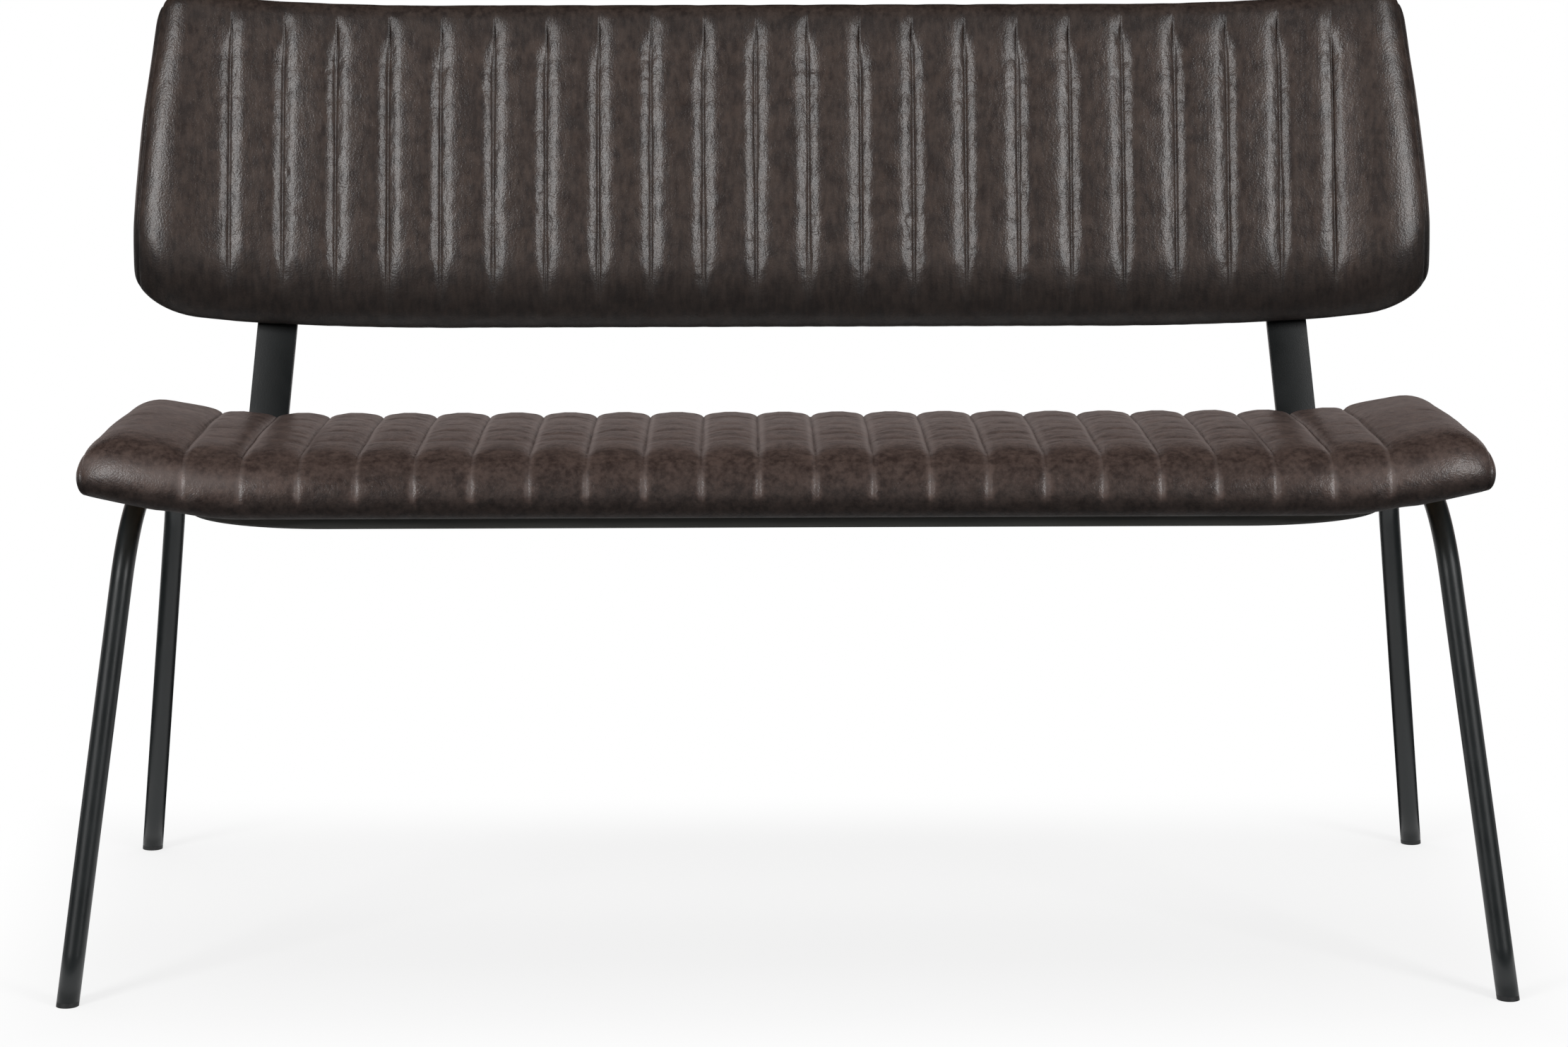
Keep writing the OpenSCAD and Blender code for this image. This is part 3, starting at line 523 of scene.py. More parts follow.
def make_seat_cover():
    obj = make_cover("seat_channel_cover", "seat_sheet", seat_outer, seat_inner, seat_relief, seat_to_object,
                     seat_half, wall=seat_core_half + soft_gap, seams=(12, 10), kept=(0.8, 0.5),
                     end_seam_d=1.5, end_start=0)
    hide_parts("seat_cover")
    return obj


# Back cover: widths and depths at a seam, the flank toward the middle being wider
back_flank_w, back_outer_flank_w, back_flank_d = 13.5, 11.5, 4.2
back_notch_w, back_notch_d, back_fill = 1.9, 1.4, 0.4
pull_w, pull_d = 36, 2.4


def back_lean_in(x, z):
    t = clamp01((z / back_h - back_lean_start) / (1 - back_lean_start))
    share = clamp01((np.abs(x) - outer_seam) / (back_half - outer_seam))
    return np.sign(x) * share * back_narrowing * t**1.3


def back_lift(x):
    s = np.maximum(0, np.abs(x) - back_smile_x) / (back_half - back_smile_x)
    return back_smile * s * s


def back_low_drop(e):
    return corner_drop(e, back_low_corner_r) * back_low_corner_h / back_low_corner_r


def back_shaped(x, y, z):
    """Leans, bends and lifts points of the straight back into its real shape."""
    x, y, z = np.broadcast_arrays(x, y, z)
    moved = x - back_lean_in(x, z)
    return np.stack([moved, y - board_rise(moved, back_flat_w), z + back_lift(x)], -1)


def turned_under(front, low, rd, rh, n):
    """Lower roll of the back: it turns quickly below the flat face, then runs rearward more evenly."""
    a = np.linspace(0, np.pi / 2, n)[None, :]
    power = 2 / 1.7
    y = front[:, None] + rd[:, None] * (1 - np.cos(a) ** power)
    z = low[:, None] + rh[:, None] * (1 - np.sin(a) ** power)
    return y, z


def back_outer(xs):
    """Outside of the back cushion without channels, from the upper rear rim over the front to the lower."""
    e = back_half - np.abs(xs)
    low, top = back_low_drop(e), back_h - corner_drop(e, back_top_corner_r)
    front = back_end_roll / back_end_roll_w * corner_drop(e, back_end_roll_w)
    rear = np.full_like(xs, back_d)
    low_roll_d = np.minimum(back_low_roll_d, 0.75 * (rear - front))
    low_roll_h = np.minimum(back_turn_h, 0.4 * (top - low))
    roll = np.minimum(back_top_roll, 0.5 * (rear - front))
    upper, lower = np.linspace(0, 1, 10)[None, :-1], np.linspace(0, 1, 8)[None, 1:]
    y, z = joined([
        (mix(rear[:, None], (front + roll)[:, None], upper),
         top[:, None] - back_rim_inset * (1 - upper) ** 3),
        quarter(front + roll, top - roll, roll, roll, 90, 180, 16),
        between(front, top - roll, front, low + low_roll_h, 84, bow=(-back_crown, 0)),
        turned_under(front, low, low_roll_d, low_roll_h, 28),
        (mix((front + low_roll_d)[:, None], rear[:, None], lower),
         low[:, None] + back_rim_inset * lower**3),
    ])
    return back_shaped(xs[:, None], y, z)


def back_core_span(xs, inset):
    """Lowest and highest z of the outline set in by inset, and how far inside its ends each x is."""
    e = back_half - inset - np.abs(xs)
    inside = np.maximum(e, 0)
    return inset + back_low_drop(inside), back_h - inset - corner_drop(inside, back_top_corner_r), e


def back_inner(xs):
    """Hollow for the foam and board, from the lower rim forward, up and rearward."""
    low, top, e = back_core_span(xs, back_side_pad - soft_gap)
    rear = np.full_like(xs, back_d)
    front = np.where(e >= 0, back_foam_front - soft_gap, back_d)
    z, y = hollow(low, top, rear, front)
    return back_shaped(xs[:, None], y, z)


def back_relief(xs, e, length, rest):
    """How far the leather of the back stands off its form, and its painted light and shade."""
    d, k, inward = nearest_seam(xs)
    # The seams begin below the top roll, the flank away from the middle lower, and run out on the lower roll
    ragged = value_noise(k * 5.1 + 0.3, inward + 3.3, seed=91)
    start = np.where(inward, 47, 58) + np.where(inward, 4, 13) * ragged
    share = step(length, start, start + np.where(inward, 22, 48)) * step(rest, 22, 94)
    strength = 0.88 + 0.12 * value_noise(k * 3.3 + 0.4, k * 0 + 0.6, seed=95)
    strength = strength * np.where((k == 0) | (k == channel_count), 0.8, 1.0)
    seam_d = wavering(d, k, length, seed=45)
    flank_w = np.where(inward, back_flank_w, back_outer_flank_w)
    offset = -share * strength * flank(seam_d, flank_w, back_flank_d, back_notch_w, back_notch_d)
    offset += back_fill * share * clamp01(seam_d / (channel_pitch / 2))
    # The leather beside the right hand end seam is pulled down over a wider strip
    pulled = (k == channel_count) & ~inward
    offset -= pulled * pull_d * share * (1 - clamp01(d / pull_w)) ** 1.5
    gather = value_noise(k * 11.1 + xs[:, None] / 6, length / 5.2, seed=61, octaves=2)
    crossing = np.maximum(0, value_noise(k * 3.7 + xs[:, None] / 15, length / 4.2, seed=67) - 0.45)
    offset += share * (0.5 * gather - 1.5 * crossing) * hill(seam_d, 5, 4.5)
    room = step(length, 30, 60) * step(rest, 30, 60)
    offset += room * 0.5 * value_noise(xs[:, None] / 33, length / 60, seed=71, octaves=2)
    # Painted shade along its top, on its lower roll and along its ends, and a painted sheen where it is
    # pulled
    painted_light_and_shade = pulled * 0.5 * share * hill(d, 15, 11)
    painted_light_and_shade = painted_light_and_shade - 0.30 * step(length, 90, 45) - 0.62 * step(rest, 104, 34) - 0.25 * hill(e, 3, 5)
    return offset, painted_light_and_shade, np.zeros_like(painted_light_and_shade)


def make_back_cover():
    obj = make_cover("back_channel_cover", "back_sheet", back_outer, back_inner, back_relief, back_to_object,
                     back_half, wall=back_half - back_side_pad + soft_gap, seams=(62, 40), kept=(0.5, 0.2),
                     end_seam_d=1.2, end_start=6)
    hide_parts("back_cover")
    return obj


# Rear panel: its edge's rounding, its sewn line, and where its mesh has points from each edge
panel_edge_r, panel_line, panel_line_w, panel_line_d, panel_uneven = 1.6, 6.8, 0.7, 0.7, 0.12
panel_steps = np.array([0, 0.3, 0.8, 1.5, 3, 5, 6, 6.6, 7.2, 7.8, 9, 11, 14])


def make_rear_panel():
    """Thin leather covered panel with a rounded edge and a sewn line along it."""
    half = back_half - rear_panel_inset
    xs = both_sides(np.concatenate([np.linspace(0, half - 20, 70), half - np.append(panel_steps, 17)]))
    low, top, e = back_core_span(xs, rear_panel_inset)
    low, top = low[:, None], top[:, None]
    margin = panel_steps[-1]
    inner = mix(low + margin, top - margin, np.linspace(0, 1, 42)[1:-1])
    z = np.concatenate([low + panel_steps, inner, top - panel_steps[::-1]], 1)
    # Distance to the nearest edge decides the rounding and the sewn line
    near = np.minimum(np.minimum(z - low, top - z), e[:, None])
    round_over = np.sqrt(1 - (1 - clamp01(near / panel_edge_r)) ** 2)
    depth = rear_panel_t * mix(0.25, 1, round_over) - panel_line_d * hill(near, panel_line, panel_line_w)
    uneven = 1 + value_noise(xs[:, None] / 23, z / 19, seed=83, octaves=2)
    depth = depth - panel_uneven * uneven * step(near, 0, 6)
    rear = back_shaped(xs[:, None], back_d + depth, z)
    front = back_shaped(xs[:, None], back_d + 0.02, z[:, ::12])[:, ::-1]
    verts, faces = capped(np.concatenate([rear, front], 1), rings=3)
    obj = solid_object("rear_leather_panel", back_to_object(verts), faces)
    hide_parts("back_rear_panel")
    return obj


# Foam inside the covers
foam_edge_r = 3
foam_steps = np.array([50, 40, 31, 23, 16, 10, 6, 3, 1.2, 0.2])


def rounded_loop(a0, a1, b0, b1, r, between_corners=8):
    """Rounded rectangle between (a0, b0) and (a1, b1) for every station, with more points on two sides."""
    a, b, r = [], [], np.full_like(a0, r)
    t = np.linspace(0, 1, between_corners + 2)[1:-1]
    corners = [(a1, b0, -90, 1, -1), (a1, b1, 0, 1, 1), (a0, b1, 90, -1, 1), (a0, b0, 180, -1, -1)]
    for k, (ca, cb, start, sa, sb) in enumerate(corners):
        g = np.radians(np.linspace(start, start + 90, 5))
        a.append((ca - sa * r)[:, None] + r[:, None] * np.cos(g))
        b.append((cb - sb * r)[:, None] + r[:, None] * np.sin(g))
        if k in (1, 3):
            na, nb = corners[(k + 1) % 4][:2]
            a.append(mix(ca[:, None], na[:, None], t))
            b.append(mix(cb[:, None], nb[:, None], t))
    return np.concatenate(a, 1), np.concatenate(b, 1)


def foam_stations(half):
    return both_sides(np.concatenate([np.linspace(0, half - 62, 30), half - foam_steps]))


def make_seat_foam():
    xs = foam_stations(seat_core_half)
    e = seat_core_half - np.abs(xs)
    front = seat_core_front + corner_drop(e, seat_core_front_r)
    rear = seat_core_rear - corner_drop(e, seat_core_rear_r)
    low, top = np.full_like(xs, base_panel_t + seat_board_t), np.full_like(xs, seat_foam_top)
    y, z = rounded_loop(front, rear, low, top, foam_edge_r)
    x = np.broadcast_to(xs[:, None], y.shape)
    verts, faces = capped(np.stack([x, y, z + board_rise(xs, seat_flat_w)[:, None]], -1), rings=4)
    obj = solid_object("seat_foam_slab", seat_to_object(verts), faces)
    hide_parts("seat_foam")
    return obj


def make_back_foam():
    xs = foam_stations(back_half - back_side_pad)
    low, top, _ = back_core_span(xs, back_side_pad)
    front, rear = np.full_like(xs, back_foam_front), np.full_like(xs, back_board_front)
    z, y = rounded_loop(low, top, front, rear, foam_edge_r)
    verts, faces = capped(back_shaped(xs[:, None], y, z), rings=4)
    obj = solid_object("back_foam_slab", back_to_object(verts), faces)
    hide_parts("back_foam")
    return obj


# Leg frames and bars
tube_sides, bend_points = 56, 28
bar_edge_r = 0.9


def leg_centre_line():
    """Centre line of a leg frame in its own plane (y, height along the plane and heading), and its splay."""
    tilt = np.tan(np.radians(seat_tilt))
    drop = (leg_plate_t + tube_d / 2 + weld_gap) / np.cos(np.radians(board_bend_a))
    rail_t = base_panel_t + float(board_rise(np.array(rail_x), seat_flat_w)) - drop
    rail_z0 = seat_edge_h + seat_edge_y * tilt + rail_t / np.cos(np.radians(seat_tilt))
    splay = np.arctan((foot_span_x / 2 - rail_x) / rail_z0)
    foot = foot_span_y / 2
    lean0, lean1 = np.tan(np.radians([front_lean, rear_lean]))
    front_top = (rail_z0 + foot * tilt) / (1 + lean0 * tilt)
    rear_top = (rail_z0 - foot * tilt) / (1 - lean1 * tilt)
    corners = np.array([
        [-foot, 0], [-foot + front_top * lean0, front_top / np.cos(splay)],
        [foot - rear_top * lean1, rear_top / np.cos(splay)], [foot, 0]])
    run = np.diff(corners, axis=0)
    heads = np.arctan2(run[:, 1], run[:, 0])
    line = []
    for i in (1, 2):
        h0, h1 = heads[i - 1], heads[i]
        first = corners[i] - tube_bend_r * np.tan((h0 - h1) / 2) * np.array([np.cos(h0), np.sin(h0)])
        middle = first + tube_bend_r * np.array([np.sin(h0), -np.cos(h0)])
        for h in np.linspace(h0, h1, bend_points):
            line.append((middle[0] - tube_bend_r * np.sin(h), middle[1] + tube_bend_r * np.cos(h), h))
    ends = [(*corners[0], heads[0]), (*corners[3], heads[2])]
    legs = []
    for end, bend in zip(ends, (line[0], line[-1])):
        places = np.linspace(0.12, 0.94, 6)
        legs.append([(mix(end[0], bend[0], u), mix(end[1], bend[1], u), end[2]) for u in places])
    return ends[:1] + legs[0] + line + legs[1][::-1] + ends[1:], splay


def tube_rings(radius):
    """Rings of points along the right hand leg frame, the first and last cut level on the foot caps."""
    line, splay = leg_centre_line()
    u = np.linspace(0, 2 * np.pi, tube_sides, endpoint=False)
    rings = []
    for y, h, head in line:
        across, up = radius * np.sin(u), h + radius * np.cos(u) * np.cos(head)
        x = foot_span_x / 2 + across * np.cos(splay) - up * np.sin(splay)
        z = across * np.sin(splay) + up * np.cos(splay)
        rings.append(np.stack([x, y - radius * np.cos(u) * np.sin(head), z], -1))
    for end, near in ((0, 1), (-1, -2)):
        run = rings[near].mean(0) - rings[end].mean(0)
        rings[end] = rings[end] + run[None, :] * ((foot_cap_t - rings[end][:, 2]) / run[2])[:, None]
    return rings


def make_leg_tube(side, name, node):
    """Bent tube with its hollow, cut flat where it stands on the foot caps."""
    loops = np.array(tube_rings(tube_d / 2) + tube_rings(tube_d / 2 - tube_wall)[::-1])
    loops[..., 0] *= side
    index = np.arange(len(loops) * tube_sides).reshape(-1, tube_sides)
    obj = solid_object(name, loops.reshape(-1, 3), [ring_faces(np.concatenate([index, index[:1]]))])
    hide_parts(node)
    return obj


def bar_stations():
    """Centre, width and thickness directions, half width and half thickness along a right hand bar."""
    t, b, lean = np.radians([seat_tilt, back_tilt, bar_lean])
    half_w, half_t = bar_w / 2, bar_t / 2
    along_seat, along_back = np.array([np.cos(t), -np.sin(t)]), np.array([np.sin(b), np.cos(b)])
    off_back = back_d + rear_panel_t + half_t
    back_start = np.array([back_y, back_z]) + off_back * np.array([np.cos(b), -np.sin(b)])
    seat_start = np.array([seat_edge_y, seat_edge_h]) - half_t * np.array([np.sin(t), np.cos(t)])
    turn = np.pi / 2 - b + t
    s, v = np.linalg.solve(np.stack([along_seat, -along_back], 1), back_start - seat_start)
    foot_end, low_v = s - bar_bend_r * np.tan(turn / 2), v + bar_bend_r * np.tan(turn / 2)
    across, leant = np.array([1.0, 0, 0]), np.array([np.cos(lean), 0, np.sin(lean)])

    def station(to_object, centre, thick, wide=across, half=(half_w, half_t)):
        origin = to_object(centre)
        return (origin, wide, to_object(centre + thick) - origin, *half)

    made = []
    # Foot under the seat, whose end is slightly broken, and the bend
    for k in np.concatenate([[0, 0.25, 0.9], np.linspace(6, bar_foot_l - 4, 8)]):
        slimmer = {0: 0.6, 0.25: 0.2}.get(k, 0)
        centre = np.array([bar_x, foot_end - bar_foot_l + k, -half_t])
        made.append(station(seat_to_object, centre, [0, 0, 1], half=(half_w - slimmer, half_t - slimmer)))
    for g in np.linspace(0, turn, 30)[:-1]:
        centre = np.array([bar_x, foot_end + bar_bend_r * np.sin(g), bar_bend_r * (1 - np.cos(g)) - half_t])
        made.append(station(seat_to_object, centre, [0, -np.sin(g), np.cos(g)]))
    # Upper part along the back, with a round top
    straight = (bar_reach - low_v) / np.cos(lean) - half_w
    rounding = np.radians([6, 13, 21, 30, 40, 50, 60, 69, 77, 83, 87, 89.3])
    for k in np.concatenate([[0], np.linspace(8, straight, 6), straight + half_w * np.sin(rounding)]):
        centre = np.array([bar_x - k * np.sin(lean), off_back, low_v + k * np.cos(lean)])
        wide = back_to_object(centre + leant) - back_to_object(centre)
        if k == 0:
            wide = (wide + across) / np.linalg.norm(wide + across)
        past = max(0.0, k - straight)
        half = (np.sqrt(max(half_w**2 - past**2, 0.04)), half_t)
        made.append(station(back_to_object, centre, [0, -1, 0], wide, half))
    return made


def make_bar(side, name, node):
    """Bent flat bar with slightly broken edges and a round top."""
    centre, wide, thick, half_w, half_t = [np.array(values) for values in zip(*bar_stations())]
    r = np.minimum(bar_edge_r, np.minimum(half_w, half_t) / 2)
    a, b = rounded_loop(-half_w, half_w, -half_t, half_t, r, between_corners=0)
    loops = centre[:, None] + wide[:, None] * a[..., None] + thick[:, None] * b[..., None]
    loops[..., 0] *= side
    verts, faces = capped(loops, rings=2)
    obj = solid_object(name, verts, faces)
    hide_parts(node)
    return obj


# Helpers for materials
def cleared(owner, output):
    """Emptied node tree of a material or world, and the surface socket of its new output node."""
    owner.use_nodes = True
    tree = owner.node_tree
    tree.nodes.clear()
    return tree, tree.nodes.new(output).inputs["Surface"]


def new_material(name):
    mat = bpy.data.materials.new(name)
    tree, surface = cleared(mat, "ShaderNodeOutputMaterial")
    shader = tree.nodes.new("ShaderNodeBsdfPrincipled")
    tree.links.new(shader.outputs[0], surface)
    return mat, tree, shader


def add_node(tree, kind, **values):
    """New node with its options and its sockets set by name, or by number as in i0; a socket is linked."""
    n = tree.nodes.new(kind)
    for option in ("operation", "data_type", "feature"):
        if option in values:
            setattr(n, option, values.pop(option))
    for key, value in values.items():
        socket = n.inputs[int(key[1:]) if key[1:].isdigit() else key.replace("_", " ")]
        if isinstance(value, bpy.types.NodeSocket):
            tree.links.new(value, socket)
        else:
            socket.default_value = value
    return n


def add(tree, kind, **values):
    """First output of such a node."""
    return add_node(tree, kind, **values).outputs[0]


def noise(tree, where, scale, detail, rough=0.5):
    return add(tree, "ShaderNodeTexNoise", Vector=where, Scale=scale, Detail=detail, Roughness=rough)


def combined(tree, operation, a, b):
    return add(tree, "ShaderNodeMath", operation=operation, i0=a, i1=b)


def place(tree, scale=(1, 1, 1)):
    """Object coordinates, scaled along each axis."""
    coords = tree.nodes.new("ShaderNodeTexCoord")
    return add(tree, "ShaderNodeMapping", Vector=coords.outputs["Object"], Scale=scale)


def stored(tree, name):
    """Value that is stored with the mesh under a name."""
    n = tree.nodes.new("ShaderNodeAttribute")
    n.attribute_name = name
    return n.outputs["Fac"]


def srgb(colour, share=1.0):
    """Linear colour of an sRGB triple from 0 to 255, darkened to a share."""
    c = np.array(colour, float) / 255
    linear = np.where(c <= 0.04045, c / 12.92, ((c + 0.055) / 1.055) ** 2.4)
    return (*(share * linear).tolist(), 1.0)


def ramp(tree, fac, low, dark, high, light):
    """Colour that turns from dark to light between two values."""
    n = add_node(tree, "ShaderNodeValToRGB", Fac=fac)
    for element, position, colour in zip(n.color_ramp.elements, (low, high), (dark, light)):
        element.position, element.color = position, colour
    return n.outputs[0]


def span(tree, value, low, high, to_low, to_high):
    return add(tree, "ShaderNodeMapRange", Value=value, From_Min=low, From_Max=high, To_Min=to_low,
               To_Max=to_high)


def patterned(name, dark, light, rough, scale, detail, uneven=0.5, stretch=(1, 1, 1), low=0.3):
    """Material whose colour and roughness follow a pattern of noise, with its nodes and the pattern."""
    mat, tree, shader = new_material(name)
    pattern = noise(tree, place(tree, stretch), scale, detail, uneven)
    tree.links.new(ramp(tree, pattern, low, dark, 1 - low, light), shader.inputs["Base Color"])
    tree.links.new(span(tree, pattern, 0.3, 0.7, *rough), shader.inputs["Roughness"])
    return mat, tree, shader, pattern


def embossed(tree, shader, height, strength, distance, **more):
    """Fine relief from a pattern; the distance is in metres."""
    relief = add(tree, "ShaderNodeBump", Strength=strength, Distance=distance, Height=height, **more)
    tree.links.new(relief, shader.inputs["Normal"])
    return relief


# Materials
def leather(name, dark, light, streak, rough, shine):
    """Semi gloss leather: mottled colour, fine pebbled grain, faint creases, uneven polish, and painted light
    and shade stored with the mesh.
    """
    mat, tree, shader = new_material(name)
    where, along = place(tree), place(tree, streak)
    mottle = noise(tree, where, scale=55, detail=6, rough=0.62)
    lines = noise(tree, along, scale=210, detail=4, rough=0.6)
    mottled = add(tree, "ShaderNodeMix", data_type="FLOAT", i0=0.5, i2=mottle, i3=lines)
    colour = ramp(tree, mottled, 0.40, srgb(dark), 0.60, srgb(light))
    # Painted light and shade from the mesh: lighter and greyer where a highlight is painted, darker where
    # shade is painted, and duller where the mesh says so
    painted_light_and_shade, dull = stored(tree, "painted_light_and_shade"), stored(tree, "dull")
    highlight_grey_share = span(tree, painted_light_and_shade, 0, 1.5, 0, 0.7)
    # Painted highlights turn toward this grey, so that they look like reflections of white light
    greyed = add_node(tree, "ShaderNodeMix", data_type="RGBA", i0=highlight_grey_share, i6=colour,
                      i7=srgb((60, 54, 52))).outputs[2]
    toned = add(tree, "ShaderNodeVectorMath", operation="SCALE", i0=greyed,
                Scale=combined(tree, "ADD", painted_light_and_shade, 1.0))
    tree.links.new(toned, shader.inputs["Base Color"])
    tree.links.new(span(tree, dull, 0, 1, 0.7 * shine, 0), shader.inputs["Coat Weight"])
    uneven = span(tree, noise(tree, where, scale=60, detail=5, rough=0.6), 0.3, 0.7, *rough)
    roughness = combined(tree, "ADD", uneven, span(tree, dull, 0, 1, 0, 0.2))
    tree.links.new(roughness, shader.inputs["Roughness"])
    shader.inputs["Specular IOR Level"].default_value = 0.5 * shine
    shader.inputs["Coat Roughness"].default_value = 0.26
    cells = add(tree, "ShaderNodeTexVoronoi", Vector=where, Scale=620, feature="SMOOTH_F1")
    pebbles = combined(tree, "ADD", cells, noise(tree, where, scale=420, detail=4, rough=0.6))
    creases = noise(tree, along, scale=170, detail=5, rough=0.65)
    creased = add(tree, "ShaderNodeBump", Strength=0.35, Distance=0.0011, Height=creases)
    grained = embossed(tree, shader, pebbles, strength=0.35, distance=0.0005, Normal=creased)
    tree.links.new(grained, shader.inputs["Coat Normal"])
    return mat


def painted_steel(name, base, rough):
    """Satin powder coat: fine orange peel and slightly uneven gloss."""
    mat, tree, shader, _ = patterned(name, srgb(base, 0.82), srgb(base), (rough - 0.04, rough + 0.06), 35, 4)
    embossed(tree, shader, noise(tree, place(tree), scale=900, detail=3), strength=0.25, distance=0.0003)
    return mat


def moulded_plastic(name, base):
    """Matt plastic with a fine texture from its mould."""
    mat, tree, shader, texture = patterned(name, srgb(base, 0.75), srgb(base), (0.52, 0.66), 300, 3)
    embossed(tree, shader, texture, strength=0.3, distance=0.0003)
    return mat


def metal(name, base, rough):
    """Plated or blackened steel with slightly uneven gloss."""
    mat, _, shader, _ = patterned(name, srgb(base, 0.7), srgb(base), (rough, rough + 0.15), 240, 5)
    shader.inputs["Metallic"].default_value = 1.0
    return mat


def wood(name, dark, light, rough):
    """Raw plywood with long grain along x."""
    mat, tree, shader, grain = patterned(name, srgb(dark), srgb(light), (rough, rough + 0.12), 90, 7,
                                         uneven=0.65, stretch=(0.06, 1, 1), low=0.35)
    embossed(tree, shader, grain, strength=0.2, distance=0.0004)
    return mat


def lacquered_panel(name, base, edge_r):
    """Black lacquered panel: faint grain, and edges whose sharpness is taken off by edge_r in metres."""
    mat, tree, shader, grain = patterned(name, srgb(base, 0.8), srgb(base), (0.36, 0.46), 120, 6,
                                         stretch=(0.1, 1, 1), low=0.35)
    rounded = add_node(tree, "ShaderNodeBevel", Radius=edge_r)
    rounded.samples = 6
    embossed(tree, shader, grain, strength=0.15, distance=0.0003, Normal=rounded.outputs[0])
    return mat


def foam_material(name):
    """Open cell foam with fine pores."""
    mat, tree, shader = new_material(name)
    pores = add(tree, "ShaderNodeTexVoronoi", Vector=place(tree), Scale=900)
    colour = ramp(tree, pores, 0.0, srgb((190, 180, 140)), 0.6, srgb((228, 218, 184)))
    tree.links.new(colour, shader.inputs["Base Color"])
    shader.inputs["Roughness"].default_value = 0.9
    embossed(tree, shader, pores, strength=0.5, distance=0.0006)
    return mat


def dress(obj, mat):
    obj.data.materials.clear()
    obj.data.materials.append(mat)


seat_leather = leather("seat_leather", (50, 38, 34), (78, 63, 57), streak=(1, 0.8, 1), rough=(0.40, 0.54),
                       shine=0.75)
back_leather = leather("back_leather", (48, 37, 33), (75, 61, 54), streak=(1, 1, 0.22), rough=(0.38, 0.52),
                       shine=1.0)
panel_leather = leather("panel_leather", (48, 38, 34), (70, 58, 52), streak=(0.5, 1, 0.5),
                        rough=(0.38, 0.52), shine=0.8)
frame_paint = painted_steel("frame_paint", (36, 40, 41), rough=0.38)
# The bars have the legs' powder coat; this darker copy of it is painted shade, for the shade of the back
# above them
bar_paint_with_painted_shade = painted_steel("bar_paint_with_painted_shade", (12, 18, 19), rough=0.42)
foam_look = foam_material("foam_look")
slot_looks = {
    "frame_steel": frame_paint,
    "foot_plastic": moulded_plastic("cap_plastic", (34, 35, 36)),
    "bolt_steel": metal("bolt_black", (70, 70, 72), rough=0.35),
    "zinc_steel": metal("zinc", (165, 167, 170), rough=0.3),
    "panel_black": lacquered_panel("panel_paint", (75, 75, 72), edge_r=0.005),
    "plywood": wood("plywood", (150, 118, 82), (196, 164, 124), rough=0.55),
    "foam": foam_look,
    "channel_leather": seat_leather,
    "rear_leather": panel_leather,
}
for part in frame["record"]["subparts"]:
    solid = frame["nodes"][part["node"]]
    dress(solid, slot_looks[part["material_slot"]])
    solid.data.polygons.foreach_set("use_smooth", np.full(len(solid.data.polygons), False))

# Pieces and their looks
pieces = [(make_seat_cover(), seat_leather), (make_back_cover(), back_leather),
          (make_rear_panel(), panel_leather), (make_seat_foam(), foam_look), (make_back_foam(), foam_look)]
for side, hand in ((-1, "left"), (1, "right")):
    pieces.append((make_leg_tube(side, hand + "_leg_tube", hand + "_leg_frame"), frame_paint))
    pieces.append((make_bar(side, hand + "_flat_bar", hand + "_back_bar"), bar_paint_with_painted_shade))
for piece, look in pieces:
    dress(piece, look)
    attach(piece, "root")

# Camera, in metres and degrees
camera_at, camera_lens = Vector((-0.040, -4.100, 1.074)), 102.52
camera_pitch, camera_yaw, camera_roll = 9.624, 0.549, -0.117


def make_camera():
    data = bpy.data.cameras.new("camera")
    data.sensor_width, data.lens = 36.0, camera_lens
    data.clip_start, data.clip_end = 0.05, 200
    pitch, yaw, roll = np.radians([camera_pitch, camera_yaw, camera_roll])
    scene.camera = new_object("camera", data)
    scene.camera.matrix_world = (
        Matrix.Translation(camera_at) @ Matrix.Rotation(-yaw, 4, "Z") @
        Matrix.Rotation(np.pi / 2 - pitch, 4, "X") @ Matrix.Rotation(roll, 4, "Z"))


# Floor, background and light, in metres. The floor's shadow shows under and close round the bench and fades
# into the white between a start and an end on each axis
shadow_fade = {"X": (0.60, 0.80), "Y": (0.28, 0.56)}
shadow_shift = (0, 0.03, 0)
floor_half = 30
# Brightness of what the floor itself gives and of what lights it, where 1 is white
floor_glow, floor_grey, floor_bounce, sky_light = 0.735, 0.28, 0.40, 0.30
# Dark cards: half width, front, rear, just above the floor, top, and where the dim card behind begins
card_half, card_front, card_rear, card_low, card_high, card_split = 5, -5.2, 3.2, 0.002, 3.6, 1.3
# Window in the dark floor card under the seat, and where that card ends behind
window_half, window_front, window_rear, floor_card_rear = 0.9, -0.36, 0.30, 1.1
# Corners of the card between the right hand soft light and the straight part of the front leg
leg_card = ((0.7, -1.3, 0), (1.6, -0.5, 0), (1.6, -0.5, 0.8), (0.7, -1.3, 0.8))
card_black, card_dim = (0.003, 0.003, 0.003), (0.62, 0.54, 0.52)
softbox_x, softbox_y, softbox_z, softbox_aim, softbox_level = 2.4, -2.5, 2.1, (0, 0.1, 0.6), 10.6


def emission(tree, strength, colour=(1, 1, 1), kind="ShaderNodeEmission"):
    return add(tree, kind, Color=(*colour, 1), Strength=strength)


def seen_rays(tree):
    """1 for the rays that show the background: camera, glossy and transmission rays."""
    path = tree.nodes.new("ShaderNodeLightPath").outputs
    both = combined(tree, "MAXIMUM", path["Is Camera Ray"], path["Is Glossy Ray"])
    return combined(tree, "MAXIMUM", both, path["Is Transmission Ray"])


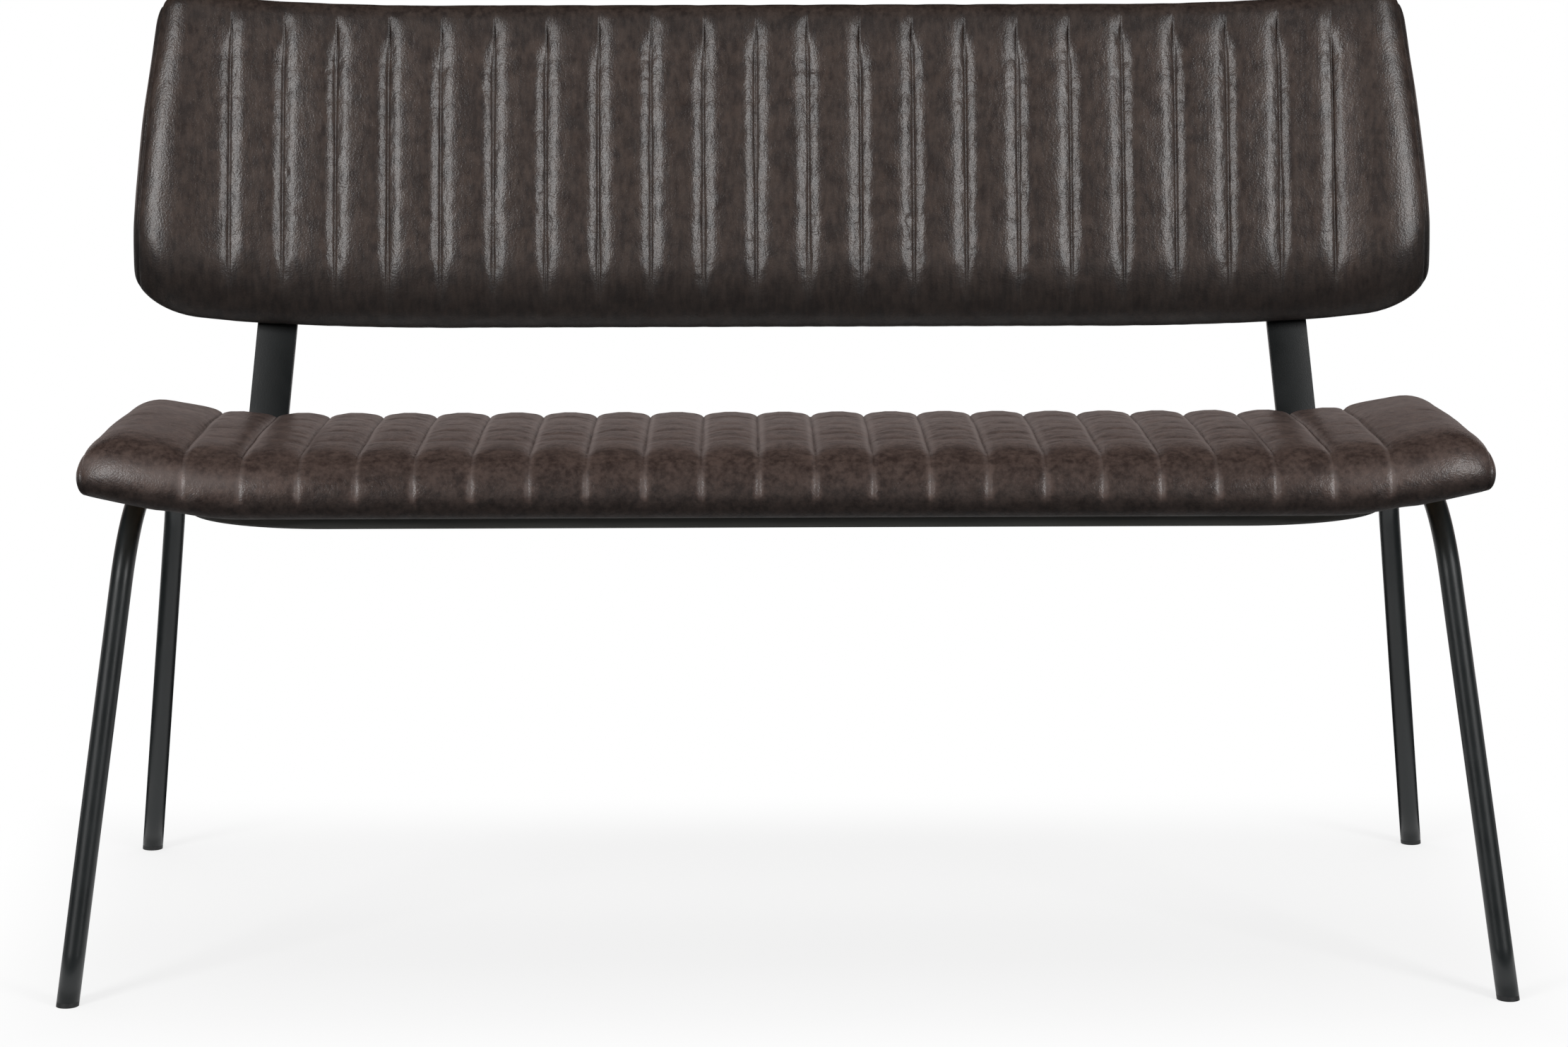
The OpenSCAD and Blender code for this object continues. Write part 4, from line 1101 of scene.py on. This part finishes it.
def make_floor():
    """Large pale floor. What the camera sees is mostly its own white, less where the bench shades it."""
    mat = bpy.data.materials.new("pale_floor")
    tree, surface = cleared(mat, "ShaderNodeOutputMaterial")
    plain = add(tree, "ShaderNodeBsdfDiffuse", Color=(*[floor_bounce] * 3, 1))
    shaded = add(tree, "ShaderNodeBsdfDiffuse", Color=(*[floor_grey] * 3, 1))
    near = add(tree, "ShaderNodeAddShader", i0=shaded, i1=emission(tree, floor_glow))
    far = emission(tree, 1.0)
    shifted = add(tree, "ShaderNodeVectorMath", operation="ADD", i0=place(tree), i1=shadow_shift)
    from_middle = add(tree, "ShaderNodeVectorMath", operation="ABSOLUTE", i0=shifted)
    aside = add_node(tree, "ShaderNodeSeparateXYZ", Vector=from_middle)
    fades = []
    for axis, (start, end) in shadow_fade.items():
        fade = add_node(tree, "ShaderNodeMapRange", Value=aside.outputs[axis], From_Min=start, From_Max=end)
        fade.interpolation_type = "SMOOTHSTEP"
        fades.append(fade.outputs[0])
    seen = add(tree, "ShaderNodeMixShader", i0=combined(tree, "MAXIMUM", *fades), i1=near, i2=far)
    tree.links.new(add(tree, "ShaderNodeMixShader", i0=seen_rays(tree), i1=plain, i2=seen), surface)
    corners = [(x * floor_half, y * floor_half, 0) for x, y in ((-1, -1), (1, -1), (1, 1), (-1, 1))]
    floor = mesh_object("floor", corners, [(0, 1, 2, 3)])
    dress(floor, mat)


def make_world():
    """White where it is seen, dim where it only lights."""
    scene.world = bpy.data.worlds.new("studio")
    tree, surface = cleared(scene.world, "ShaderNodeOutputWorld")
    dim, white = [emission(tree, level, kind="ShaderNodeBackground") for level in (sky_light, 1.0)]
    tree.links.new(add(tree, "ShaderNodeMixShader", i0=seen_rays(tree), i1=dim, i2=white), surface)


def soft_light(name, place_at, aim, width, height, level):
    """Rectangular soft light whose face has the given brightness, where 1 is white."""
    data = bpy.data.lights.new(name, "AREA")
    data.shape, data.size, data.size_y = "RECTANGLE", width, height
    data.energy = level * np.pi * width * height
    light = new_object(name, data)
    light.location = place_at
    light.rotation_euler = (Vector(aim) - Vector(place_at)).to_track_quat("-Z", "Y").to_euler()
    return light


def reflection_cards(name, colour, cards):
    """Cards of an even colour, each given by its corners, that only reflections see."""
    mat = bpy.data.materials.new(name)
    tree, surface = cleared(mat, "ShaderNodeOutputMaterial")
    tree.links.new(emission(tree, 1.0, colour), surface)
    ends = np.cumsum([len(card) for card in cards]).tolist()
    faces = [tuple(range(end - len(card), end)) for card, end in zip(cards, ends)]
    obj = mesh_object(name, [corner for card in cards for corner in card], faces)
    dress(obj, mat)
    obj.visible_camera = obj.visible_diffuse = obj.visible_shadow = obj.visible_transmission = False


def make_cards():
    """Dark cards before, above and beside the bench and on the floor, and a dim warm one low behind it.

    The floor is left open under the seat, where the rear legs reflect it.
    """
    w, low, high, split = card_half, card_low, card_high, card_split
    profile = [(window_front, low), (card_front, low), (card_front, high), (card_rear, high),
               (card_rear, split)]
    cards = [[(-w, *p), (w, *p), (w, *q), (-w, *q)] for p, q in zip(profile, profile[1:])]
    for side in (-1, 1):
        cards.append([(side * w, y, z) for y, z in profile])
        cards.append([(side * x, y, z) for x, y, z in leg_card])
    for x0, x1, y0, y1 in ((-w, w, window_rear, floor_card_rear),
                           (-w, -window_half, window_front, window_rear),
                           (window_half, w, window_front, window_rear)):
        cards.append([(x0, y0, low), (x1, y0, low), (x1, y1, low), (x0, y1, low)])
    reflection_cards("dark_cards", card_black, cards)
    dim = [(-w, card_rear, low), (w, card_rear, low), (w, card_rear, split), (-w, card_rear, split)]
    reflection_cards("dim_card", card_dim, [dim])


make_camera()
make_floor()
make_world()
make_cards()
for side, hand in ((-1, "left"), (1, "right")):
    soft_light(hand + "_softbox", (side * softbox_x, softbox_y, softbox_z), softbox_aim,
               width=0.9, height=1.6, level=softbox_level)
soft_light("top_light", (0, 0.3, 3.2), (0, 0.1, 0), width=3.2, height=2.4, level=1.3).visible_glossy = False

scene.view_settings.view_transform = "Standard"
